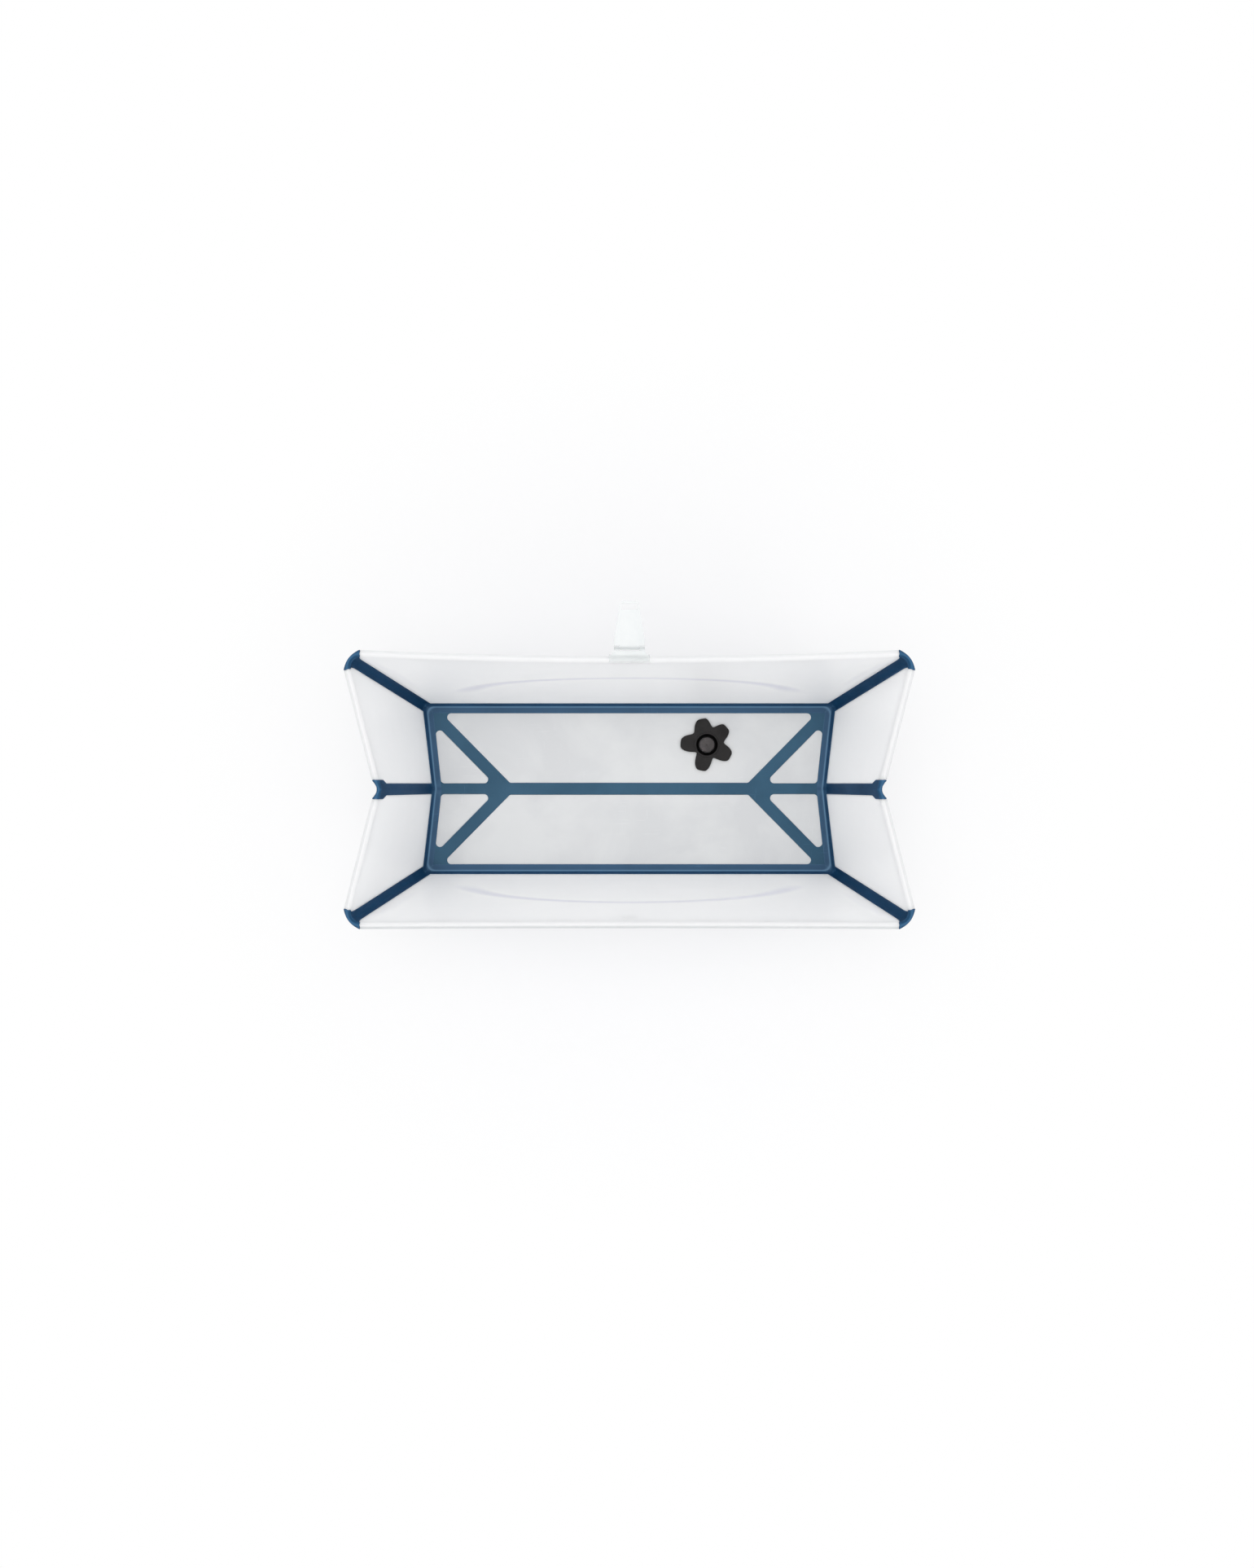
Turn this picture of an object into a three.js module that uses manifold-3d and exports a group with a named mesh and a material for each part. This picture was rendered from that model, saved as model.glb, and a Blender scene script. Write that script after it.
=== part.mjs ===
// A foldable baby bathtub: stiff translucent panels joined by flexible rubber strips.
// Millimetres, +Z up, +X to the right, +Y to the far side. The origin is the middle of the underside.
import * as THREE from 'three';
import Module from 'manifold-3d';
import { mergeVertices } from 'three/addons/utils/BufferGeometryUtils.js';

const wasm = await Module();
wasm.setup();

// The net of fold lines, at mid thickness. The right far quarter is given, the others mirror it.
const floorCornerX = 344;
const floorCornerY = 141.2;
const rimCornerX = 412;
const rimCornerY = 194.5;
const wallHeight = 276;
const endFootX = 329;
const endTopX = 362;
const diagonalMeetX = 205;

// Stock and clearances
const sheet = 2;
const rubber = 3;
const gap = 0.3;
const capGap = 0.6;
const overrun = 5;

// Rubber strip widths, each measured from its fold line
const centreHalfWidth = 10;
const diagonalHalfWidth = 10;
const endCreaseFloorHalfWidth = 9;
const longEdgeFloorWidth = 14;
const endEdgeFloorWidth = 13;
const edgeWallWidth = 13;
const cornerFlange = 13.5;
const creaseHalfWidth = 8;
const edgeInnerRadius = 1.5;
const cornerInnerRadius = 9;

// Rolled lip of the rim
const rollRadius = 4.2;
const lipDrop = 2.5;
const farRimBow = 9.5;
const nearRimBow = 1.2;

// Flared rubber caps on the rim
const cornerCapTip = 19;
const cornerCapRadius = 40;
const cornerBendShare = 0.8;
const creaseCapTip = 17;
const creaseCapInset = 5.5;
const capThickness = 6;
const capRise = 0.8;

// Shallow arch pressed into the long walls
const archHalfLength = 300;
const archHalfHeight = 100;
const archCentreHeight = 70;
const archDepth = 3.5;
const archEdgeShare = 0.1;
const archFootRamp = 30;

// Drain plug and the ring that it seats in
const plugX = 131;
const plugY = 74;
const plugHoleRadius = 17;
const plugStemRadius = 12.4;
const plugStarThickness = 2.4;
const plugRimRadius = 19;
const plugGrooveRadius = 17.6;
const plugBossRadius = 12.5;
const plugBossHeight = 5;
const plugRimHeight = 1.2;
const plugFloorThickness = 1.2;
const sealOuterRadius = 22;
const sealFlange = 1.1;
const petalRadius = 44.5;
const petalHalfWidth = 11.5;
const petalCrownShare = 0.45;

// Strap, its root on the far lip, its pin, and the catch on the near wall
const strapLength = 72;
const strapTipWidth = 29;
const strapBaseWidth = 45;
const strapThickness = 2.4;
const slotLength = 24;
const slotWidth = 9;
const slotFromTip = 4;
const tipRoundShare = 0.25;
const shoulderShare = 1 / 6;
const rootWidth = 59;
const rootReach = 9.5;
const rootThickness = 2;
const wrapStartShare = 0.3;
const pinRadius = 1.2;
const knuckleRadius = 2.8;
const knuckleShare = 0.18;
const catchHeight = 8;
const catchWidth = 22;
const catchNeck = 5;
const catchLip = 3;
const catchBelowRim = 26;
const slotPlay = 0.6;

// Steps of the round shapes
const rollSteps = 6;
const bendSteps = 4;
const capArcSteps = 8;
const hollowSteps = 6;
const roundSteps = 40;
const petalSteps = 9;
const domeSteps = 6;
const wrapSteps = 8;
const pinSteps = 16;
const tipSteps = 5;
const wallStations = 26;
const wallRises = 11;
const endStations = 3;
const endRises = 4;

const netZ = rubber / 2;
const lipReach = 2 * rollRadius + sheet / 2;
const lipDepth = rollRadius + lipDrop;

const milky = { color: 0xe9ebee, roughness: 0.32, metalness: 0 };
const navy = { color: 0x27445f, roughness: 0.5, metalness: 0 };
const charcoal = { color: 0x3a3838, roughness: 0.55, metalness: 0 };
const clear = { color: 0xf2f4f5, roughness: 0.25, metalness: 0 };

const tub = new THREE.Group();

const at = (x, y, z) => new THREE.Vector3(x, y, z);
const mix = (a, b, share) => a.clone().lerp(b, share);

const ends = [
  { side: 'right', sx: 1 },
  { side: 'left', sx: -1 },
];
const sides = [
  { side: 'far', sy: 1, bow: farRimBow },
  { side: 'near', sy: -1, bow: nearRimBow },
];
const quarters = sides.flatMap(({ side, sy }) =>
  ends.map((end) => ({ name: `${side}_${end.side}`, sx: end.sx, sy })),
);

const floorCorner = (sx, sy) => at(sx * floorCornerX, sy * floorCornerY, netZ);
const rimCorner = (sx, sy) => at(sx * rimCornerX, sy * rimCornerY, netZ + wallHeight);
const endFoot = (sx) => at(sx * endFootX, 0, netZ);
const endTop = (sx) => at(sx * endTopX, 0, netZ + wallHeight);
const meetPoint = (sx) => at(sx * diagonalMeetX, 0, netZ);

// A closed body has an outward skin when its signed volume is above zero.
function signedVolume(position, index) {
  const [a, b, c] = [at(0, 0, 0), at(0, 0, 0), at(0, 0, 0)];
  let total = 0;
  for (let i = 0; i < index.count; i += 3) {
    a.fromBufferAttribute(position, index.getX(i));
    b.fromBufferAttribute(position, index.getX(i + 1));
    c.fromBufferAttribute(position, index.getX(i + 2));
    total += a.dot(b.cross(c));
  }
  return total;
}

// Keeps only positions, shares the vertices and turns the faces outwards.
function bareSolid(geometry) {
  const bare = geometry.clone();
  bare.deleteAttribute('normal');
  bare.deleteAttribute('uv');
  const merged = mergeVertices(bare);
  if (signedVolume(merged.attributes.position, merged.index) < 0) {
    const flipped = Array.from(merged.index.array);
    for (let i = 0; i < flipped.length; i += 3) {
      [flipped[i], flipped[i + 1]] = [flipped[i + 1], flipped[i]];
    }
    merged.setIndex(flipped);
  }
  return merged;
}

function toManifold(geometry) {
  const solid = bareSolid(geometry);
  return new wasm.Manifold(new wasm.Mesh({
    numProp: 3,
    vertProperties: Float32Array.from(solid.attributes.position.array),
    triVerts: Uint32Array.from(solid.index.array),
  }));
}

function fromManifold(body) {
  const mesh = body.getMesh();
  const geometry = new THREE.BufferGeometry();
  geometry.setAttribute('position', new THREE.BufferAttribute(mesh.vertProperties, 3));
  geometry.setIndex(new THREE.BufferAttribute(mesh.triVerts, 1));
  return geometry;
}

const joined = (first, ...others) =>
  fromManifold(others.reduce((body, other) => body.add(toManifold(other)), toManifold(first)));
const cut = (first, ...others) =>
  fromManifold(others.reduce((body, other) => body.subtract(toManifold(other)), toManifold(first)));

function addPart(name, geometry, look, group = tub) {
  const solid = bareSolid(geometry);
  solid.computeVertexNormals();
  const part = new THREE.Mesh(solid, new THREE.MeshStandardMaterial(look));
  part.name = name;
  group.add(part);
  return part;
}

// A body through rings of equal point counts. An outline is its ring seen flat, and it winds to the left.
function loft(rings, firstOutline, lastOutline = firstOutline) {
  const count = rings[0].length;
  const index = [];
  for (let r = 0; r + 1 < rings.length; r += 1) {
    for (let i = 0; i < count; i += 1) {
      const a = r * count + i;
      const b = r * count + ((i + 1) % count);
      index.push(a, b, a + count, b, b + count, a + count);
    }
  }
  const lastStart = (rings.length - 1) * count;
  for (const [i, j, k] of THREE.ShapeUtils.triangulateShape(firstOutline, [])) {
    index.push(i, k, j);
  }
  for (const face of THREE.ShapeUtils.triangulateShape(lastOutline, [])) {
    index.push(...face.map((n) => lastStart + n));
  }
  const geometry = new THREE.BufferGeometry().setFromPoints(rings.flat());
  geometry.setIndex(index);
  return geometry;
}

// Flat work in the floor plane

const flat = (point) => new THREE.Vector2(point.x, point.y);

// Where two lines cross, each given by a point and a direction
function crossing(p, u, q, v) {
  const t = q.clone().sub(p).cross(v) / u.cross(v);
  return p.clone().addScaledVector(u, t);
}

// Moves every edge of an outline inwards by one distance.
function inset(outline, distance) {
  const turn = Math.sign(THREE.ShapeUtils.area(outline));
  const edges = outline.map((point, i) => {
    const along = outline[(i + 1) % outline.length].clone().sub(point).normalize();
    const inward = new THREE.Vector2(-along.y, along.x).multiplyScalar(turn * distance);
    return { point: point.clone().add(inward), along };
  });
  return edges.map((edge, i) => {
    const before = edges[(i + edges.length - 1) % edges.length];
    return crossing(before.point, before.along, edge.point, edge.along);
  });
}

// A flat piece of the floor, one gap away from the pieces beside it
function floorTile(outline, thickness) {
  const shape = new THREE.Shape(inset(outline, gap / 2));
  const geometry = new THREE.ExtrudeGeometry(shape, { depth: thickness, bevelEnabled: false });
  return geometry.translate(0, 0, netZ - thickness / 2);
}

// The points where the strips of one floor quarter meet
function floorJunctions(sx, sy) {
  const meet = flat(meetPoint(sx));
  const corner = flat(floorCorner(sx, sy));
  const foot = flat(endFoot(sx));
  const diagonal = corner.clone().sub(meet).normalize();
  const endwards = new THREE.Vector2(diagonal.y, -diagonal.x).multiplyScalar(sx * sy);
  const middleSide = meet.clone().addScaledVector(endwards, -diagonalHalfWidth);
  const endSide = meet.clone().addScaledVector(endwards, diagonalHalfWidth);
  const endEdge = corner.clone().sub(foot).normalize();
  const endInner = foot.clone().addScaledVector(
    new THREE.Vector2(endEdge.y, -endEdge.x).multiplyScalar(-sx * sy), endEdgeFloorWidth);
  const level = (y) => new THREE.Vector2(0, sy * y);
  const lengthwise = new THREE.Vector2(1, 0);
  const longInner = level(floorCornerY - longEdgeFloorWidth);
  return {
    meet,
    centreSide: crossing(middleSide, diagonal, level(centreHalfWidth), lengthwise),
    creaseStart: crossing(endSide, diagonal, level(endCreaseFloorHalfWidth), lengthwise),
    longSide: crossing(middleSide, diagonal, longInner, lengthwise),
    endSide: crossing(endSide, diagonal, endInner, endEdge),
    cornerInner: crossing(longInner, lengthwise, endInner, endEdge),
    creaseEnd: crossing(level(endCreaseFloorHalfWidth), lengthwise, endInner, endEdge),
    creaseTip: crossing(level(0), lengthwise, endInner, endEdge),
  };
}

// Stiff panels with a rolled lip

// The section runs up the inner face, round the lip and down the outer face.
// Its points hold the height up the sheet and the distance outwards.
function rimSection(bottom, top, rises) {
  const half = sheet / 2;
  const rollStart = top - rollRadius;
  const points = [];
  const rise = (i) => bottom + (rollStart - bottom) * (i / rises);
  const roll = (radius, step) => {
    const angle = Math.PI * (step / rollSteps);
    return new THREE.Vector2(
      rollStart + radius * Math.sin(angle), rollRadius - radius * Math.cos(angle));
  };
  for (let i = 0; i < rises; i += 1) points.push(new THREE.Vector2(rise(i), -half));
  for (let i = 0; i <= rollSteps; i += 1) points.push(roll(rollRadius + half, i));
  points.push(new THREE.Vector2(rollStart - lipDrop, lipReach));
  points.push(new THREE.Vector2(rollStart - lipDrop, lipReach - sheet));
  for (let i = rollSteps; i >= 0; i -= 1) points.push(roll(rollRadius - half, i));
  for (let i = rises - 1; i >= 0; i -= 1) points.push(new THREE.Vector2(rise(i), half));
  return points;
}

// A sheet between two upright fold lines, given by their feet and tops.
// startInset and endInset give the distance kept from each fold line, by the distance outwards.
function rimPanel({ startFoot, startTop, endFoot: lastFoot, endTop: lastTop, outward, startInset,
  endInset, stations, rises, press = () => 0 }) {
  const height = mix(startFoot, lastFoot, 0.5).distanceTo(mix(startTop, lastTop, 0.5));
  const section = rimSection(edgeWallWidth + gap, height, rises);
  const across = lastTop.clone().sub(startTop).normalize();
  const lean = (foot, top) => 1 / Math.sin(top.clone().sub(foot).angleTo(across));
  const startLean = lean(startFoot, startTop);
  const endLean = lean(lastFoot, lastTop);
  const rings = [];
  for (let k = 0; k <= stations; k += 1) {
    rings.push(section.map(({ x: up, y: out }) => {
      const share = up / height;
      const start = startFoot.clone().lerp(startTop, share);
      const end = lastFoot.clone().lerp(lastTop, share);
      const width = start.distanceTo(end);
      const first = startInset(out) * startLean / width;
      const last = 1 - endInset(out) * endLean / width;
      const along = first + (last - first) * (k / stations);
      const rising = mix(startTop, lastTop, along).sub(mix(startFoot, lastFoot, along));
      const normal = end.clone().sub(start).cross(rising).normalize();
      if (normal.dot(outward) < 0) normal.negate();
      const point = start.lerp(end, along);
      return point.addScaledVector(normal, out + press(along, up, height, width));
    }));
  }
  return loft(rings, section);
}

// The inset grows from the flat strip's width at the inner face to the cap's tip at the lip.
const flaredInset = (width, tip) => (out) => {
  const share = (out + sheet / 2) / (lipReach + sheet / 2);
  return width + (tip - width) * share + (out > sheet ? capGap : gap);
};

const smooth = (value) => THREE.MathUtils.smoothstep(value, 0, 1);

// How far a long wall is drawn in: most at mid length, and alike all over the lip
function bowAt(bow, along, up, height) {
  const middle = 1 - (2 * along - 1) ** 2;
  return bow * middle * Math.min(up / (height - lipDepth), 1) ** 2;
}

// The pressed arch pushes the long walls outwards, and the bow draws their rims inwards.
function longWallPress(bow) {
  return (along, up, height, width) => {
    const x = (along - 0.5) * width;
    const reach = Math.hypot(x / archHalfLength, (up - archCentreHeight) / archHalfHeight);
    const arch = smooth((1 - reach) / archEdgeShare) * smooth((up - edgeWallWidth) / archFootRamp);
    return archDepth * arch - bowAt(bow, along, up, height);
  };
}

function addWalls() {
  for (const { side, sy, bow } of sides) {
    addPart(`side_wall_${side}`, rimPanel({
      startFoot: floorCorner(-1, sy),
      startTop: rimCorner(-1, sy),
      endFoot: floorCorner(1, sy),
      endTop: rimCorner(1, sy),
      outward: at(0, sy, 0),
      startInset: flaredInset(cornerFlange, cornerCapTip),
      endInset: flaredInset(cornerFlange, cornerCapTip),
      stations: wallStations,
      rises: wallRises,
      press: longWallPress(bow),
    }), milky);
  }
  for (const { name, sx, sy } of quarters) {
    addPart(`end_panel_${name}`, rimPanel({
      startFoot: endFoot(sx),
      startTop: endTop(sx),
      endFoot: floorCorner(sx, sy),
      endTop: rimCorner(sx, sy),
      outward: at(sx, 0, 0),
      startInset: flaredInset(creaseHalfWidth, creaseCapTip),
      endInset: flaredInset(cornerFlange, cornerCapTip),
      stations: endStations,
      rises: endRises,
    }), milky);
  }
}

// Folded rubber strips

// One ring of a strip that is bent along a fold line.
// Flange A lies towards aimA, flange B towards aimB.
function stripRing(edge, along, aimA, aimB, widthA, widthB, innerRadius) {
  const across = (aim) => {
    const direction = aim.clone().sub(edge);
    return direction.addScaledVector(along, -direction.dot(along)).normalize();
  };
  const dirA = across(aimA);
  const dirB = across(aimB);
  const angle = dirA.angleTo(dirB);
  const inA = dirB.clone().addScaledVector(dirA, -Math.cos(angle)).normalize();
  const inB = dirA.clone().addScaledVector(dirB, -Math.cos(angle)).normalize();
  const half = rubber / 2;
  const centre = edge.clone().addScaledVector(
    dirA.clone().add(dirB).normalize(), (half + innerRadius) / Math.sin(angle / 2));
  const axis = inA.clone().cross(inB).normalize();
  const arc = (radius, step) => {
    const direction = inA.clone().negate().applyAxisAngle(axis, (Math.PI - angle) * (step / bendSteps));
    return centre.clone().addScaledVector(direction, radius);
  };
  const flangeEnd = (direction, width, normal, offset) =>
    edge.clone().addScaledVector(direction, width).addScaledVector(normal, offset);
  const ring = [flangeEnd(dirA, widthA, inA, half)];
  for (let i = 0; i <= bendSteps; i += 1) ring.push(arc(innerRadius, i));
  ring.push(flangeEnd(dirB, widthB, inB, half), flangeEnd(dirB, widthB, inB, -half));
  for (let i = bendSteps; i >= 0; i -= 1) ring.push(arc(innerRadius + rubber, i));
  ring.push(flangeEnd(dirA, widthA, inA, -half));
  const outline = ring.map((point) => {
    const offset = point.clone().sub(edge);
    return new THREE.Vector2(offset.dot(dirA), offset.dot(inA));
  });
  return { ring, outline };
}

// The strip's ends lie on two cutting planes. Each ring point slides along the fold line to its plane.
function foldedStrip({ from, to, fromAims, toAims, widthA, widthB, innerRadius, fromCut, toCut }) {
  const along = to.clone().sub(from).normalize();
  const slide = (point, plane) =>
    point.addScaledVector(along, -plane.distanceToPoint(point) / plane.normal.dot(along));
  const first = stripRing(from, along, ...fromAims, widthA, widthB, innerRadius);
  const last = stripRing(to, along, ...toAims, widthA, widthB, innerRadius);
  first.ring.forEach((point) => slide(point, fromCut));
  last.ring.forEach((point) => slide(point, toCut));
  return loft([first.ring, last.ring], first.outline, last.outline);
}

// The upright plane through the diagonal, where the strips along the floor's edges are mitred.
// It is moved half a gap towards the given side.
function mitrePlane(sx, sy, towards) {
  const plane = new THREE.Plane().setFromCoplanarPoints(
    meetPoint(sx), floorCorner(sx, sy), rimCorner(sx, sy));
  if (plane.distanceToPoint(towards) < 0) plane.negate();
  plane.constant -= gap / 2;
  return plane;
}

const levelCut = (z) => new THREE.Plane(at(0, 0, 1), -z);
const stripTopZ = netZ + edgeWallWidth + gap;
const rimZ = netZ + wallHeight;

// A plate on the rim, from a plan outline, with its top just above the lip
function rimCap(outline) {
  const geometry = new THREE.ExtrudeGeometry(new THREE.Shape(outline), {
    depth: capThickness,
    bevelEnabled: false,
  });
  return geometry.translate(0, 0, rimZ + sheet / 2 + capRise - capThickness);
}

// Plan directions of a rim edge: along it from the given point, and outwards
function rimDirections(from, to, outward) {
  const along = flat(to).sub(flat(from)).normalize();
  const out = new THREE.Vector2(-along.y, along.x);
  if (out.dot(outward) < 0) out.negate();
  return { along, out };
}

// Points on a shallow arc from one plan point to another, which bulges to the given side
function shallowArc(from, to, bulge, radius, steps) {
  const chord = to.clone().sub(from);
  const half = chord.length() / 2;
  chord.normalize();
  const reach = Math.asin(half / radius);
  const centre = from.clone().addScaledVector(chord, half)
    .addScaledVector(bulge, -radius * Math.cos(reach));
  return Array.from({ length: steps + 1 }, (_, i) => {
    const angle = reach * ((2 * i) / steps - 1);
    return centre.clone()
      .addScaledVector(bulge, radius * Math.cos(angle))
      .addScaledVector(chord, radius * Math.sin(angle));
  });
}

// The corner cap flares like a fish tail over the ends of the two lips, and its outer edge bulges a little.
function cornerCap(sx, sy) {
  const corner = rimCorner(sx, sy);
  const outward = new THREE.Vector2(sx, sy);
  const long = rimDirections(corner, rimCorner(-sx, sy), outward);
  const end = rimDirections(corner, endTop(sx), outward);
  const place = ({ along, out }, distance, offset) =>
    flat(corner).addScaledVector(along, distance).addScaledVector(out, offset);
  const bulge = long.along.clone().add(end.along).normalize().negate();
  const arc = shallowArc(place(long, cornerCapTip, lipReach), place(end, cornerCapTip, lipReach),
    bulge, cornerCapRadius, capArcSteps);
  const half = sheet / 2;
  const innerCorner = crossing(
    place(long, 0, -half), long.along, place(end, 0, -half), end.along);
  const bend = (direction) =>
    innerCorner.clone().addScaledVector(direction.along, cornerBendShare * cornerInnerRadius);
  return rimCap([
    place(long, cornerFlange, -half),
    ...arc,
    place(end, cornerFlange, -half),
    bend(end),
    bend(long),
  ]);
}

// The crease cap is a flared plate with a hollow outer edge.
function creaseCap(sx) {
  const top = endTop(sx);
  const outward = new THREE.Vector2(sx, 0);
  const half = sheet / 2;
  const [far, near] = [1, -1].map((sy) => {
    const { along, out } = rimDirections(top, rimCorner(sx, sy), outward);
    const place = (distance, offset) =>
      flat(top).addScaledVector(along, distance).addScaledVector(out, offset);
    return [place(creaseHalfWidth, -half), place(creaseCapTip, lipReach)];
  });
  const hollow = [];
  for (let i = 1; i < hollowSteps; i += 1) {
    const share = i / hollowSteps;
    const point = far[1].clone().lerp(near[1], share);
    point.x -= sx * (lipReach - creaseCapInset) * Math.sin(Math.PI * share);
    hollow.push(point);
  }
  return rimCap([far[0], far[1], ...hollow, near[1], near[0]]);
}

function addStrips() {
  for (const { side, sy } of sides) {
    const aims = (sx) => [
      floorCorner(sx, sy).sub(at(0, sy * floorCornerY, 0)),
      floorCorner(sx, sy).add(at(0, rimCornerY - floorCornerY, 0).multiplyScalar(sy)).setZ(rimZ),
    ];
    addPart(`long_edge_hinge_${side}`, foldedStrip({
      from: floorCorner(-1, sy),
      to: floorCorner(1, sy),
      fromAims: aims(-1),
      toAims: aims(1),
      widthA: longEdgeFloorWidth - gap / 2,
      widthB: edgeWallWidth,
      innerRadius: edgeInnerRadius,
      fromCut: mitrePlane(-1, sy, at(0, sy * floorCornerY, netZ)),
      toCut: mitrePlane(1, sy, at(0, sy * floorCornerY, netZ)),
    }), navy);
  }
  for (const { name, sx, sy } of quarters) {
    const foot = endFoot(sx);
    const corner = floorCorner(sx, sy);
    addPart(`end_edge_hinge_${name}`, foldedStrip({
      from: foot,
      to: corner,
      fromAims: [meetPoint(sx), endTop(sx)],
      toAims: [meetPoint(sx).setY(corner.y), rimCorner(sx, sy)],
      widthA: endEdgeFloorWidth - gap / 2,
      widthB: edgeWallWidth,
      innerRadius: edgeInnerRadius,
      fromCut: new THREE.Plane(at(0, sy, 0), -gap / 2),
      toCut: mitrePlane(sx, sy, foot),
    }), navy);
    const strip = foldedStrip({
      from: corner,
      to: rimCorner(sx, sy),
      fromAims: [floorCorner(-sx, sy), foot],
      toAims: [rimCorner(-sx, sy), endTop(sx)],
      widthA: cornerFlange,
      widthB: cornerFlange,
      innerRadius: cornerInnerRadius,
      fromCut: levelCut(stripTopZ),
      toCut: levelCut(rimZ),
    });
    addPart(`corner_hinge_${name}`, joined(strip, cornerCap(sx, sy)), navy);
  }
  for (const { side, sx } of ends) {
    const strip = foldedStrip({
      from: endFoot(sx),
      to: endTop(sx),
      fromAims: [floorCorner(sx, 1), floorCorner(sx, -1)],
      toAims: [rimCorner(sx, 1), rimCorner(sx, -1)],
      widthA: creaseHalfWidth,
      widthB: creaseHalfWidth,
      innerRadius: edgeInnerRadius,
      fromCut: levelCut(stripTopZ),
      toCut: levelCut(rimZ),
    });
    addPart(`end_crease_hinge_${side}`, joined(strip, creaseCap(sx)), navy);
  }
}

// Floor panels and strips

function addFloor() {
  const joints = Object.fromEntries(quarters.map(({ name, sx, sy }) => [name, floorJunctions(sx, sy)]));
  const { far_right: fr, far_left: fl, near_right: nr, near_left: nl } = joints;
  addPart('floor_centre_hinge', floorTile(
    [fr.meet, fr.centreSide, fl.centreSide, fl.meet, nl.centreSide, nr.centreSide], rubber), navy);
  for (const { side } of sides) {
    const right = joints[`${side}_right`];
    const left = joints[`${side}_left`];
    const panel = floorTile(
      [left.centreSide, right.centreSide, right.longSide, left.longSide], sheet);
    addPart(`floor_panel_${side}`, side === 'far' ? cut(panel, drainHole()) : panel, milky);
  }
  for (const { name } of quarters) {
    const j = joints[name];
    addPart(`diagonal_hinge_${name}`, floorTile(
      [j.meet, j.creaseStart, j.endSide, j.cornerInner, j.longSide, j.centreSide], rubber), navy);
    addPart(`floor_triangle_${name}`, floorTile([j.creaseStart, j.creaseEnd, j.endSide], sheet), milky);
  }
  for (const { side } of ends) {
    const far = joints[`far_${side}`];
    const near = joints[`near_${side}`];
    addPart(`floor_end_crease_hinge_${side}`, floorTile(
      [far.meet, far.creaseStart, far.creaseEnd, far.creaseTip, near.creaseEnd, near.creaseStart],
      rubber), navy);
  }
}

// Drain

const floorTopZ = netZ + sheet / 2;
const floorUnderZ = netZ - sheet / 2;

function drainHole() {
  const depth = sheet + 2 * overrun;
  const bore = new THREE.CylinderGeometry(plugHoleRadius, plugHoleRadius, depth, roundSteps);
  return bore.rotateX(Math.PI / 2).translate(plugX, plugY, netZ);
}

// A body turned about the upright axis through the drain
function turned(profile) {
  const points = profile.map(([radius, z]) => new THREE.Vector2(radius, z));
  return new THREE.LatheGeometry(points, roundSteps).rotateX(Math.PI / 2);
}

// Directions of the five petals, in degrees, and how far the star reaches between them
const petalAngles = [101, 42, -27, -103, 177];
const notchShares = [0.7, 0.65, 0.56, 0.5, 0.67];

// A star with round petals. Each petal and each notch is a half wave of the radius.
function starOutline() {
  const points = [];
  petalAngles.forEach((angle, i) => {
    const next = petalAngles[(i + 1) % petalAngles.length];
    const span = THREE.MathUtils.euclideanModulo(angle - next, 360);
    const petalSpan = 2 * THREE.MathUtils.radToDeg(Math.asin(petalHalfWidth / petalRadius));
    const notch = petalRadius * notchShares[i];
    for (let k = 0; k < petalSteps; k += 1) {
      const turnedBy = span * (k / petalSteps);
      const fromPetal = Math.min(turnedBy, span - turnedBy) / (span / 2);
      const crown = petalCrownShare * (petalSpan / span);
      const fall = smooth((fromPetal - crown) / (1 - crown));
      const radius = petalRadius + (notch - petalRadius) * fall;
      const direction = THREE.MathUtils.degToRad(angle - turnedBy);
      points.push(new THREE.Vector2(Math.cos(direction), Math.sin(direction)).multiplyScalar(radius));
    }
  });
  return points;
}

function addDrain() {
  const drain = new THREE.Group();
  drain.position.set(plugX, plugY, 0);
  tub.add(drain);

  const ringTopZ = floorTopZ + gap + sealFlange;
  const stemRadius = plugHoleRadius - gap;
  const boreRadius = plugStemRadius + gap;
  const ring = turned([
    [boreRadius, floorUnderZ],
    [stemRadius, floorUnderZ],
    [stemRadius, floorTopZ + gap],
    [sealOuterRadius, floorTopZ + gap],
    [sealOuterRadius, ringTopZ],
    [boreRadius, ringTopZ],
    [boreRadius, floorUnderZ],
  ]);
  addPart('drain_seal_ring', ring, charcoal, drain);

  const starZ = ringTopZ + gap;
  const star = new THREE.ExtrudeGeometry(new THREE.Shape(starOutline()), {
    depth: plugStarThickness,
    bevelEnabled: false,
  });
  star.translate(0, 0, starZ);
  const starTopZ = starZ + plugStarThickness;
  const grooveZ = starZ + plugFloorThickness;
  const rim = turned([
    [0, starZ],
    [plugRimRadius + plugRimHeight, starZ],
    [plugRimRadius + plugRimHeight, starTopZ],
    [plugRimRadius, starTopZ + plugRimHeight],
    [plugGrooveRadius, starTopZ + plugRimHeight],
    [0, starTopZ + plugRimHeight],
  ]);
  const groove = turned([
    [0, grooveZ],
    [plugGrooveRadius, grooveZ],
    [plugGrooveRadius, starTopZ + plugBossHeight],
    [0, starTopZ + plugBossHeight],
  ]);
  const boss = [[0, floorUnderZ], [plugStemRadius, floorUnderZ], [plugStemRadius, starZ + gap]];
  for (let i = 0; i <= domeSteps; i += 1) {
    const angle = (Math.PI / 2) * (i / domeSteps);
    boss.push([plugBossRadius * Math.cos(angle), grooveZ + plugBossHeight * Math.sin(angle)]);
  }
  addPart('drain_plug', joined(cut(joined(star, rim), groove), turned(boss)), charcoal, drain);
}

// Closing strap

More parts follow.
